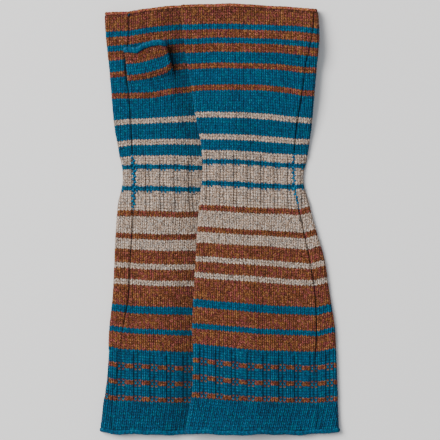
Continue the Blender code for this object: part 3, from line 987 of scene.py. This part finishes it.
def stitched(thing, sizes, material, **changed):
    """Raises the stitches of a shell, with any settings that differ from the usual ones."""
    values = {label_of(setting): getattr(sizes, setting) / MM for setting in RELIEF}
    return finished(thing, MADE["stitches"], {**values, **changed, "Material": material})


def low_bumps(sizes):
    """What differs on a rolled edge, whose stitches hardly show."""
    return {"Purl height": 0.4 * sizes.purl_height / MM}


def keep(piece, node):
    """Attaches a piece to the body, hides the imported part that it stands for, and keeps it for the
    operators that follow.
    """
    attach(piece, BODY)
    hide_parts(node)
    MADE[piece.name] = piece


# ---------------------------------------------------------------- thumbs
THUMB_ROUND = 26  # wales round a thumb
THUMB_STEPS = 6  # columns of faces in each
THUMB_ROWS = 14  # rows of stitches from its mouth into the hand
THUMB_MOUND = 1.7  # how far the hand rises to meet the thumb's front
THUMB_TILT = 0.07  # how much its rows rise to the right, beyond square
THUMB_RISE = 15.0  # over this length its front rises out of the hand
THUMB_THIN = 0.5  # half its height inside the hand
THUMB_FULL = 1.8  # what half its height gains outside
THUMB_FLARE = 0.3  # and what it gains again at the mouth
MOUTH_REACH = 12  # over this length the mouth opens
LEFT_NARROW = 0.8  # how much narrower the left thumb is at its mouth
LEFT_LEVEL = 6.0  # height at which the left thumb lies on the hand
LEFT_LIFT = 1.7  # how much more its mouth is lifted
LEFT_PUFF = 1.0  # how far its front swells
THUMB_LEAN = 2.8  # how much higher its right side stands at the mouth
Wave = namedtuple("Wave", "side forward")
MOUTH_WAVE = {
    "left": (Wave(-19, 1.0), Wave(-15, 0.9), Wave(-7.7, -1.6), Wave(-1, 0.3), Wave(5.6, 0.9), Wave(11.7, 0.1),
             Wave(16.9, -2.2), Wave(19, -2.8)),
    "right": (Wave(-19, -1.0), Wave(0, 0.4), Wave(19, -0.6)),
}


def wave_at(side, across):
    table = MOUTH_WAVE[side]
    return np.interp(across, [wave.side for wave in table], [wave.forward for wave in table])


def thumb_place(side):
    """The function that places a thumb's stitches, counted from the middle of its front and its mouth."""
    thumb = THUMBS[side]
    length, way = thumb_line(thumb)

    def place(wale, course, inset=0.0):
        wale, course = np.broadcast_arrays(np.asarray(wale, float), np.asarray(course, float))
        forward = length - COURSE * course
        near_mouth = ramp(forward, length - MOUTH_REACH, length)
        full = ramp(forward, length - COURSE * THUMB_ROWS, length - COURSE * THUMB_ROWS + THUMB_RISE)
        if side == "right":
            full = np.maximum(full, 0.8)
        half_height = (THUMB_THIN + THUMB_FULL * full) + THUMB_FLARE * near_mouth
        narrow = LEFT_NARROW if side == "left" else 0.0
        taper = thumb.mouth_half - narrow - thumb.base_half
        half_width = thumb.base_half + taper * np.clip(forward / length, -0.3, 1)
        flat = half_width - half_height
        around = 4 * flat + 2 * math.pi * half_height
        reach = (np.mod(wale / THUMB_ROUND + 0.5, 1) - 0.5) * around
        way_out = np.where(reach < 0, -1.0, 1.0)
        reach = np.abs(reach)
        turned = np.clip((reach - flat) / half_height, 0, math.pi)
        at_back = reach > flat + math.pi * half_height
        inset = np.minimum(inset, 0.62 * half_height)
        shrunk = half_height - inset
        sideways = np.where(at_back, 2 * flat + math.pi * half_height - reach, np.minimum(reach, flat))
        sideways = way_out * (sideways + np.sin(turned) * shrunk)
        out = np.cos(turned) * shrunk
        ahead = forward + THUMB_TILT * sideways + wave_at(side, sideways) * near_mouth
        if side == "left":
            ahead = ahead - THUMB_SAG * (1 - np.clip(sideways / half_width, -1, 1) ** 2) * (1 - near_mouth)
            ahead = ahead + 1.8 * ramp(sideways, half_width - 5, half_width + 1) * (1 - near_mouth)
        x = thumb.base_x + ahead * way[0] + sideways * way[1]
        y = thumb.base_y + ahead * way[1] - sideways * way[0]
        if side == "left":
            under = LEFT_LEVEL + LEFT_LIFT * near_mouth
            rise = (half_height - THUMB_THIN) * 2 * full / (full + 0.001)
            middle = under - (2.2 - 0.8 * THUMB_MOUND) * (1 - full) + rise / 2
            middle = middle + THUMB_LEAN * full * np.clip(sideways / half_width + 1, 0, 2) / 2
            puffed = LEFT_PUFF * full * np.cos(np.clip(sideways / half_width, -1, 1) * math.pi / 2)
            z = middle + out + np.where(out > 0, puffed, 0)
        else:
            z = half_height + 0.7 * near_mouth + out
        return np.stack([x, y, z], -1)

    return place


def knit_thumb(side, sizes, material):
    wales = np.arange(THUMB_ROUND * THUMB_STEPS) / THUMB_STEPS - THUMB_ROUND / 2
    rows = np.linspace(0, THUMB_ROWS, THUMB_ROWS * ROW_STEPS + 1)
    ends = ramp(rows, 0, 1) * (1 - ramp(rows, THUMB_ROWS - 1, THUMB_ROWS))
    share = np.repeat(ends[:, None], len(wales), 1)
    none = np.zeros_like(share)
    below = 1 - ramp(np.abs(wales), THUMB_ROUND / 4, THUMB_ROUND / 4 + 2)
    grids = {
        "show": (HIDDEN_SHARE + (1 - HIDDEN_SHARE) * below)[None, :],
        "purl": none,
        "rib": none,
        "seam": none + AWAY,
        "edge": rows[:, None],
        "lit": none + 0.97,
    }
    yarn = yarn_grid(rows, wales, THUMB_STRIPES, none, rows < 0)
    place = thumb_place(side)
    thing = knit_shell(f"{side}_thumb", place, wales, THUMB_ROUND, rows, share, grids, yarn, 0.7)
    return stitched(thing, sizes, material)


# ---------------------------------------------------------------- edges
ROLL_AROUND = 12  # faces round a rolled edge
ROLL_STEPS = 5  # and in each of its wales
ROLL_ROWS = 5  # rows of purl bumps round the roll
ARM_FULLNESS = 1.2  # how much fuller than half the band's height a roll is
THUMB_FULLNESS = {"left": 1.5, "right": 1.0}
CHAIN_LAP, THUMB_LAP = 0.35, 0.4  # how far the bands lap onto the tubes


def roll_shell(name, centre, out, beyond, radius, wales_round, yarn):
    """A rolled edge: a closed band round a line of centres, with purl bumps to raise."""
    count = len(centre)
    angle = np.arange(ROLL_AROUND) * 2 * math.pi / ROLL_AROUND
    along_out = np.cos(angle)[:, None, None] * out[None]
    along_beyond = np.sin(angle)[:, None, None] * beyond[None]
    away = along_out + along_beyond
    points = centre[None] + radius * away
    faces = grid_faces(ROLL_AROUND, count, closed_rows=True)
    tangent = np.roll(centre, -1, 0) - np.roll(centre, 1, 0)
    turned = np.cross(tangent[0], out[0]) @ beyond[0]
    if turned > 0:
        faces = faces[:, ::-1]
    mesh = quad_mesh(name, points.reshape(-1, 3), faces)
    wale = np.arange(count) / count * wales_round
    course = np.arange(ROLL_AROUND) / ROLL_AROUND * ROLL_ROWS
    wale_grid, course_grid = np.broadcast_arrays(wale[None], course[:, None])
    values = {"wale": wale_grid, "course": course_grid, "seam": AWAY, "edge": AWAY, "rib": 0.0}
    for label in ("wale", "course", "purl", "rib", "seam", "show", "edge", "size", "lit"):
        write_attribute(mesh, label, np.broadcast_to(values.get(label, 1.0), wale_grid.shape))
    write_attribute(mesh, "out", away, kind="FLOAT_VECTOR")
    write_attribute(mesh, "yarn", np.full(len(faces), yarn), "FACE")
    write_attribute(mesh, "purl_face", np.ones(len(faces)), "FACE")
    order = CORNERS[::-1] if turned > 0 else CORNERS
    stitch = on_corners(np.append(wale, wales_round), np.append(course, ROLL_ROWS), order)
    write_map(mesh, "stitch", stitch)
    write_map(mesh, "OFBake", stitch / np.array([wales_round, ROLL_ROWS]))
    mesh.uv_layers["stitch"].active_render = True
    return new_object(name, mesh)


def edge_line(place, course, wales_round, start, count, forward):
    """The middle of the wall round an open end, the way out of the cloth there, and the way beyond it."""
    wales = start + np.arange(count) / count * wales_round
    outer, inner = place(wales, course, 0.0), place(wales, course, WALL)
    out = unit(outer - inner)
    beyond = np.broadcast_to(np.array(forward, float), out.shape)
    return (outer + inner) / 2, out, beyond


def tube_edge_line(side, course, forward):
    place, first = WARMERS[side].place, SHOWING_WALES[side][0]
    return edge_line(place, course, WALES_ROUND, first, WALES_ROUND * ROLL_STEPS, (0, forward, 0))


def knit_arm_roll(side, sizes, material):
    middle, out, beyond = tube_edge_line(side, LAST_COURSE, -1)
    along_x = middle[:, :1]
    uneven = 0.35 * np.sin(along_x / 8) + 0.25 * np.sin(along_x / 3.3 + 1)
    centre = middle + beyond * (ARM_ROLL + uneven)
    radius = ARM_FULLNESS * ARM_ROLL
    thing = roll_shell(f"{side}_arm_roll", centre, out, beyond, radius, WALES_ROUND, TEAL)
    return stitched(thing, sizes, material, **low_bumps(sizes))


def knit_thumb_roll(side, sizes, material):
    _, way = thumb_line(THUMBS[side])
    middle, out, beyond = edge_line(
        thumb_place(side), 0.0, THUMB_ROUND, -THUMB_ROUND / 2, THUMB_ROUND * ROLL_STEPS, (*way, 0)
    )
    radius = THUMB_ROLL * THUMB_FULLNESS[side]
    upward = np.array([0.0, 0.0, 1.0])
    centre = middle + beyond * (THUMB_ROLL - THUMB_LAP) + out * (radius - THUMB_ROLL) * upward
    thing = roll_shell(f"{side}_thumb_roll", centre, out, beyond, radius, THUMB_ROUND, TEAL)
    return stitched(thing, sizes, material, **low_bumps(sizes))


def line_of_points(name, places, tangents, outs, sizes):
    """Points for strands to be laid at."""
    mesh = bpy.data.meshes.new(name)
    add_points(mesh, places)
    write_attribute(mesh, "tangent", tangents, kind="FLOAT_VECTOR")
    write_attribute(mesh, "out", outs, kind="FLOAT_VECTOR")
    write_attribute(mesh, "size", sizes)
    return new_object(name, mesh)


def joined(first, second):
    """Adds the second object's mesh to the first one's."""
    with bpy.context.temp_override(
        active_object=first, object=first, selected_editable_objects=[first, second]
    ):
        bpy.ops.object.join()
    return first


CAST_OFF_CORE = 0.85  # radius of the band under the cast-off stitches
CHAIN = {"Length": 3.4, "Radius": 0.66, "Slant": 0.3, "Spread": 0.5}
SEWING = {"Length": 1.25, "Radius": 0.42, "Slant": 0.35, "Spread": 0.2}


def knit_cast_off(side, sizes, material):
    """A chain of cast-off stitches round the finger opening, over a thin band that closes it."""
    middle, out, beyond = tube_edge_line(side, FIRST_COURSE, 1)
    centre = middle + beyond * (FINGER_ROLL - CHAIN_LAP)
    band = roll_shell(f"{side}_cast_off", centre, out, beyond, CAST_OFF_CORE, WALES_ROUND, RUST)
    stitched(band, sizes, material, **{"Purl height": 0.2})
    picked = np.arange(0, len(centre), ROLL_STEPS // 2)
    tangent = unit(np.roll(centre, -1, 0) - np.roll(centre, 1, 0))
    places = centre + out * 0.3 + beyond * 0.15
    chain = line_of_points(
        f"{side}_chain", places[picked], tangent[picked], out[picked], np.ones(len(picked))
    )
    finished(chain, MADE["strands"], {**CHAIN, "Material": material})
    whole = joined(band, chain)
    # the chain has no place on the band's bake map
    whole.data.uv_layers.remove(whole.data.uv_layers["OFBake"])
    return whole


def sew_seam(side, sizes, material):
    """Short stitches of teal yarn down the groove of the side seam; the small ones deep in it get painted
    shade.
    """
    warmer = WARMERS[side]
    courses = np.arange(FIRST_COURSE + 0.8, LAST_COURSE - 0.5, 1.0)
    line, pitch = wale_line(side, courses), along(PITCHES[side], courses, "width")
    wales = (warmer.read(courses, "seam") - line) / pitch
    bold = ramp(courses, 51, 54) * (1 - ramp(courses, 70, 75))
    sink = sizes.seam_depth / MM * (0.85 - 0.8 * bold)
    places = warmer.place(wales, courses, sink)
    ahead = unit(warmer.place(wales, courses + 0.5, sink) - warmer.place(wales, courses - 0.5, sink))
    outs = outward(warmer.place, wales, courses)
    # the bold stitches at the wrist are large; the smaller ones are painted darker in their material, as
    # shade in the groove
    grow = 0.7 + 1.4 * bold
    zigzag = np.where(np.arange(len(courses)) % 2 == 0, 0.7, -0.7) * bold
    places = places + zigzag[:, None] * np.cross(ahead, outs)
    if side == "left":
        # the tail of yarn at the finger edge, tied in a small knot
        knot = places[0] + np.array([[0.0, 1.2, 1.4], [0.6, 1.9, 1.5], [-0.5, 0.4, 1.5]])
        ways = unit(np.array([[0.8, 0.5, 0.1], [-0.3, 0.9, 0.2], [0.6, -0.7, 0.1]]))
        places, ahead = np.concatenate([places, knot]), np.concatenate([ahead, ways])
        outs = np.concatenate([outs, np.tile([[0.0, 0.0, 1.0]], (3, 1))])
        grow = np.concatenate([grow, [0.85, 0.75, 0.75]])
    stitches = line_of_points(f"{side}_seam", places, ahead, outs, grow)
    return finished(stitches, MADE["strands"], {**SEWING, "Material": material})


# ---------------------------------------------------------------- materials
STRAND_FLECKS = 1000 / 2.6  # repeats of the flecks in a metre, on yarn that has no stitches
# Each yarn's flecks: the lightest fibres, the darkest and two odd ones
FLECKS = {
    TEAL: ((0.008, 0.150, 0.290), (0.000, 0.026, 0.060), (0.001, 0.086, 0.125), (0.004, 0.050, 0.125)),
    RUST: ((0.435, 0.165, 0.105), (0.024, 0.007, 0.003), (0.185, 0.080, 0.012), (0.195, 0.025, 0.038)),
    OATMEAL: ((0.900, 0.820, 0.740), (0.060, 0.032, 0.022), (0.380, 0.240, 0.150), (0.290, 0.245, 0.220)),
}


def heather(nodes, base, flecks, specks, legs, gain):
    """One yarn's colour: its own, with lighter, darker and odd fibres spun in."""
    colour = opaque(base)
    for amount, most, fleck in (
        ((legs[0] - 0.64) * 8, 0.8, flecks[2]),
        ((0.32 - legs[1]) * 8, 0.8, flecks[3]),
        ((specks[0] - 0.55) * (2.2 * gain), 0.85, flecks[0]),
        ((specks[1] - 0.58) * (2.4 * gain), 0.9, flecks[1]),
    ):
        colour = nodes.mix(amount.between(0.0, most), colour, opaque(fleck))
    return colour


def wool(name, colours, by_stitch=True, yarn=None, lit=1.0, depth=1.0):
    """The knit's material: heathered yarn, painted shade in the gaps between stitches and fine twisted plies.

    by_stitch is off for laid strands, which have no map of stitches. yarn is the only yarn where it isn't
    striped, lit how much brighter painted light makes it than flat knitting, and depth how dark the painted
    shade in its gaps is.
    """
    material = bpy.data.materials.new(name)
    material.use_nodes = True
    tree = material.node_tree
    tree.nodes.clear()
    nodes = Nodes(tree)
    if by_stitch:
        place = nodes.wire(nodes.add("ShaderNodeUVMap", uv_map="stitch"))
    else:
        place = nodes.scaled(nodes.wire(nodes.add("ShaderNodeTexCoord"), 3), STRAND_FLECKS)
    parts = nodes.add("ShaderNodeSeparateXYZ", {0: place})
    wale, course = nodes.wire(parts, 0), nodes.wire(parts, 1)
    legs = nodes.combine((wale * 2).floor(), course.floor(), 0.5)
    leg_random = nodes.wire(nodes.add("ShaderNodeTexWhiteNoise", {0: legs}, noise_dimensions="3D"))
    second = nodes.combine((wale * 2).floor() + 71.3, course.floor() - 13.7, 2.5)
    other_random = nodes.wire(nodes.add("ShaderNodeTexWhiteNoise", {0: second}, noise_dimensions="3D"))

    def field(name):
        return nodes.wire(nodes.add("ShaderNodeAttribute", attribute_name=name), 2)

    def noise(scale, detail, x=1.0, y=1.0, z=0.0):
        moved = nodes.add(
            "ShaderNodeMapping", {"Vector": place, "Scale": (x, y, 1.0), "Location": (z, z * 0.7, z)}
        )
        settings = {"Vector": nodes.wire(moved), "Scale": scale, "Detail": detail, "Roughness": 0.6}
        return nodes.wire(nodes.add("ShaderNodeTexNoise", settings, noise_dimensions="3D"))

    specks = [
        ((noise(4.3, 1.0, y=0.8, z=offset) - 0.5) * 3.6 + 0.5).between(0.0, 1.0) for offset in (0.0, 9.0)
    ]
    yarns = {
        kind: heather(nodes, colours[kind], FLECKS[kind], specks, (leg_random, other_random), gain)
        for kind, gain in ((TEAL, 1.0), (RUST, 1.1), (OATMEAL, 2.0))
    }
    dashed = 0.0
    if yarn is None:
        kind = field("yarn")
        dashed = kind > 0.5
        colour = nodes.mix(dashed, yarns[TEAL], yarns[RUST])
        colour = nodes.mix(kind > 1.5, colour, yarns[OATMEAL])
    else:
        colour = yarns[yarn]
    shade = (leg_random * 0.6 + 0.7) * lit
    if by_stitch:
        purl, rib, seam, edge = (field(name) for name in ("purl_face", "rib", "seam", "edge"))
        # painted shade: the gaps between stitches, and between purl bumps, are darkened
        height = leg_profile(wale, course) * (1 - purl) + (0.22 + purl_profile(wale, course) * 0.78) * purl
        shade = shade * (1 - depth * (0.94 - height**2))
        # painted shade in the narrow line beside each rib, darker in the arm's rib
        shade = shade * (1 - rib_line(wale) * rib * (0.1 + (course > WRIST_END) * 0.12))
        # painted shade: in the arm's rib the sunk purl wales are darkened, and their dashes of rust and
        # oatmeal most
        shade = shade * (1 - (course > ARM_RIB_START) * purl * (0.08 + dashed * 0.3))
        # painted shade: in the hem the left leg of every leaning knit stitch is darkened
        left_leg_shade = (wale.fract() < 0.5) * ((course - HEM_START) / 3).between(0.0, 0.2) * (1 - purl)
        shade = shade * (1 - left_leg_shade)
        # painted shade: the rows beside the finger and arm edge bands, and at a thumb's mouth, are darkened
        shade = shade * (1 - ((edge / 0.6) ** 2).falling() * 0.6)
        # painted shade down the groove of the side seam
        shade = shade * (1 - ((seam / 0.45) ** 2).falling() * 0.9)
        shade = shade * field("lit")
    else:
        # painted shade: the smaller a strand, the darker it is painted; the small seam stitches lie deep in
        # the seam's groove
        shade = shade * ((field("size") - 0.6) * 2).between(0.15, 1.0)
    shade = shade.between(0.0, 1.5)
    tone = nodes.combine(shade, shade, shade)
    colour = nodes.mix(1.0, colour, tone, blend="MULTIPLY")
    plies = noise(9.0, 2.0, x=1.6, y=0.7, z=3.0)
    bump = nodes.add("ShaderNodeBump", {"Strength": 0.5, "Distance": 0.00025, "Height": plies})
    roughness = (0.78 + 0.2 * plies).between(0.0, 1.0)
    shader = nodes.add(
        "ShaderNodeBsdfPrincipled",
        {
            "Base Color": colour,
            "Roughness": roughness,
            "Normal": nodes.wire(bump),
            "Specular IOR Level": 0.08,
            "Sheen Weight": 0.03,
            "Sheen Roughness": 0.7,
        },
    )
    output = nodes.add("ShaderNodeOutputMaterial", {"Surface": nodes.wire(shader)})
    output.is_active_output = True
    return material


def yarn_colours():
    colours = bpy.context.scene.warmer_yarns
    return {TEAL: tuple(colours.teal), RUST: tuple(colours.rust), OATMEAL: tuple(colours.oatmeal)}


def workshop():
    """The trees and materials, made once."""
    if not MADE:
        colours = yarn_colours()
        MADE["stitches"] = stitch_tree()
        MADE["strands"] = strand_tree()
        MADE["knit"] = wool("striped_wool", colours)
        MADE["rolled"] = wool("rolled_wool", colours, yarn=TEAL, lit=0.95, depth=0.45)
        MADE["rust"] = wool("rust_chain", colours, by_stitch=False, yarn=RUST, lit=1.5)
        MADE["sewn"] = wool("sewing_yarn", colours, by_stitch=False, yarn=TEAL, lit=1.15)
    return MADE


# ---------------------------------------------------------------- settings and operators
def length_of(name, description, default):
    return bpy.props.FloatProperty(name=name, description=description, default=default, unit="LENGTH")


def colour_of(name, description, default):
    return bpy.props.FloatVectorProperty(name=name, description=description, default=default, subtype="COLOR")


class WarmerSizes(bpy.types.PropertyGroup):
    """Depth of the relief."""

    leg_height: length_of("Leg height", "How far a knit stitch stands up", 0.0006)
    purl_height: length_of("Purl height", "How far a purl bump stands up", 0.00035)
    rib_rise: length_of("Rib rise", "How far the knit wales of a rib stand up", 0.0003)
    rib_sink: length_of("Rib sink", "How far the purl wales of a rib draw in", 0.0005)
    rib_line: length_of("Rib line", "Depth of the line beside a rib", 0.0002)
    seam_depth: length_of("Seam depth", "Depth of the groove at the side seam", 0.0011)
    edge_tuck: length_of("Edge tuck", "How far the cloth draws in beside an edge band", 0.0008)
    uneven: length_of("Unevenness", "How much hand-made stitches differ", 0.0006)


class WarmerYarns(bpy.types.PropertyGroup):
    """Colours of the three yarns."""

    teal: colour_of("Teal", "Main yarn of hand and hem", (0.0013, 0.089, 0.186))
    rust: colour_of("Rust", "Heathered rust yarn", (0.158, 0.041, 0.008))
    oatmeal: colour_of("Oatmeal", "Undyed wool", (0.570, 0.385, 0.280))


class WarmerStage(bpy.types.PropertyGroup):
    """The plain surface, the light and the camera."""

    floor: colour_of("Surface", "Colour of the surface", (0.90, 0.90, 0.91))
    lamp_power: bpy.props.FloatProperty(
        name="Lamp", description="Power of the large soft lamp", default=250.0, unit="POWER"
    )
    fill: bpy.props.FloatProperty(name="Fill", description="Strength of the light all round", default=0.45)
    view_width: length_of("View width", "Width that the camera takes in", 0.352)
    eye_height: length_of("Eye height", "Height of the camera", 1.8)


def knit_both(material, slot, *kinds):
    """Knits pieces for each side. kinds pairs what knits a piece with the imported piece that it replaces."""
    made = workshop()
    for side in SIDES:
        for knit, node in kinds:
            keep(knit(side, bpy.context.scene.warmer_sizes, made[material]), f"{side}_{node}")
    return {"FINISHED"}


class WARMER_OT_tubes(bpy.types.Operator):
    """Knits the arm tubes, in zones of plain stitch and rib"""

    bl_idname = "warmer.tubes"
    bl_label = "Knit arm tubes"

    def execute(self, context):
        zones = [(partial(knit_zone, zone), "arm_tube") for zone in ZONES]
        return knit_both("knit", "striped_knit", *zones)


class WARMER_OT_thumbs(bpy.types.Operator):
    """Knits the thumb tubes"""

    bl_idname = "warmer.thumbs"
    bl_label = "Knit thumbs"

    def execute(self, context):
        return knit_both("knit", "striped_knit", (knit_thumb, "thumb_tube"))


class WARMER_OT_rolls(bpy.types.Operator):
    """Rolls the edges at the arm and round the thumbs"""

    bl_idname = "warmer.rolls"
    bl_label = "Roll edges"

    def execute(self, context):
        return knit_both("rolled", "teal_edge", (knit_arm_roll, "arm_edge"), (knit_thumb_roll, "thumb_edge"))


class WARMER_OT_cast_off(bpy.types.Operator):
    """Casts off the finger openings with a chain"""

    bl_idname = "warmer.cast_off"
    bl_label = "Cast off"

    def execute(self, context):
        return knit_both("rust", "rust_edge", (knit_cast_off, "finger_edge"))


class WARMER_OT_seams(bpy.types.Operator):
    """Sews the side seams"""

    bl_idname = "warmer.seams"
    bl_label = "Sew seams"

    def execute(self, context):
        return knit_both("sewn", "striped_knit", (sew_seam, "arm_tube"))


class WARMER_OT_sheets(bpy.types.Operator):
    """Reads the width of every knitted zone from the tables, and does nothing more with it"""

    bl_idname = "warmer.sheets"
    bl_label = "Declare cloth"

    def execute(self, context):
        made = workshop()
        for side, warmer in WARMERS.items():
            for zone in ZONES:
                first, last = max(zone.start, FIRST_COURSE), min(zone.end, LAST_COURSE)
                courses = np.linspace(first, last, 9)
                width = 2 * float(np.mean(warmer.read(courses, "right") - warmer.read(courses, "left")))
        return {"FINISHED"}


LAMP_SIZE = (2.5, 2.0)  # metres
LAMP_PLACE = (-2.3, 1.25, 2.9)
LAMP_COLOUR = (1.0, 0.97, 0.93)
FILL_COLOUR = (0.92, 0.96, 1.0)
EYE_PLACE = (0.00024, 0.0002)  # metres from the middle of the tables
SENSOR = 36.0  # millimetres
FLOOR_REACH = 1.5  # metres each way


class WARMER_OT_stage(bpy.types.Operator):
    """Sets up the plain surface, soft light and the camera straight above"""

    bl_idname = "warmer.stage"
    bl_label = "Set stage"

    def execute(self, context):
        look = context.scene.warmer_stage
        floor_mesh = bpy.data.meshes.new("table")
        corners = [((2 * i - 1) * FLOOR_REACH, (2 * j - 1) * FLOOR_REACH, 0) for i, j in CORNERS]
        floor_mesh.from_pydata(corners, [], [(0, 1, 2, 3)])
        floor = new_object("table", floor_mesh)
        surface = bpy.data.materials.new("pale_surface")
        surface.use_nodes = True
        shader = surface.node_tree.nodes["Principled BSDF"]
        shader.inputs["Base Color"].default_value = opaque(look.floor)
        shader.inputs["Roughness"].default_value = 0.8
        floor_mesh.materials.append(surface)

        world = bpy.data.worlds.new("fill")
        world.use_nodes = True
        background = world.node_tree.nodes["Background"]
        background.inputs["Color"].default_value = opaque(FILL_COLOUR)
        background.inputs["Strength"].default_value = look.fill
        context.scene.world = world

        lamp = bpy.data.lights.new("soft_lamp", "AREA")
        lamp.shape = "RECTANGLE"
        lamp.size, lamp.size_y = LAMP_SIZE
        lamp.energy = look.lamp_power
        lamp.color = LAMP_COLOUR
        holder = new_object("soft_lamp", lamp)
        holder.location = LAMP_PLACE
        holder.rotation_euler = (-holder.location).to_track_quat("-Z", "Y").to_euler()

        eye = bpy.data.cameras.new("eye")
        eye.sensor_width = SENSOR
        eye.lens = eye.sensor_width * look.eye_height / look.view_width
        camera = new_object("eye", eye)
        camera.location = (EYE_PLACE[0] + SHIFT.x, EYE_PLACE[1] + SHIFT.y, look.eye_height)
        context.scene.camera = camera
        return {"FINISHED"}


STEPS = (
    WARMER_OT_stage,
    WARMER_OT_tubes,
    WARMER_OT_thumbs,
    WARMER_OT_rolls,
    WARMER_OT_cast_off,
    WARMER_OT_seams,
    WARMER_OT_sheets,
)


class WARMER_PT_panel(bpy.types.Panel):
    """Lists the steps and settings in the sidebar"""

    bl_idname = "WARMER_PT_panel"
    bl_label = "Arm warmers"
    bl_space_type = "VIEW_3D"
    bl_region_type = "UI"
    bl_category = "Knitting"

    def draw(self, context):
        for group in ("warmer_sizes", "warmer_yarns", "warmer_stage"):
            settings = getattr(context.scene, group)
            box = self.layout.box()
            for name in settings.__annotations__:
                box.prop(settings, name)
        for step in STEPS:
            self.layout.operator(step.bl_idname)


CLASSES = (WarmerSizes, WarmerYarns, WarmerStage, *STEPS, WARMER_PT_panel)


def register():
    for kind in CLASSES:
        bpy.utils.register_class(kind)
    bpy.types.Scene.warmer_sizes = bpy.props.PointerProperty(type=WarmerSizes)
    bpy.types.Scene.warmer_yarns = bpy.props.PointerProperty(type=WarmerYarns)
    bpy.types.Scene.warmer_stage = bpy.props.PointerProperty(type=WarmerStage)


def unregister():
    for name in ("warmer_sizes", "warmer_yarns", "warmer_stage"):
        delattr(bpy.types.Scene, name)
    for kind in reversed(CLASSES):
        bpy.utils.unregister_class(kind)


def main():
    register()
    for step in STEPS:
        getattr(bpy.ops.warmer, step.bl_idname.split(".")[1])()


if __name__ == "__main__":
    main()
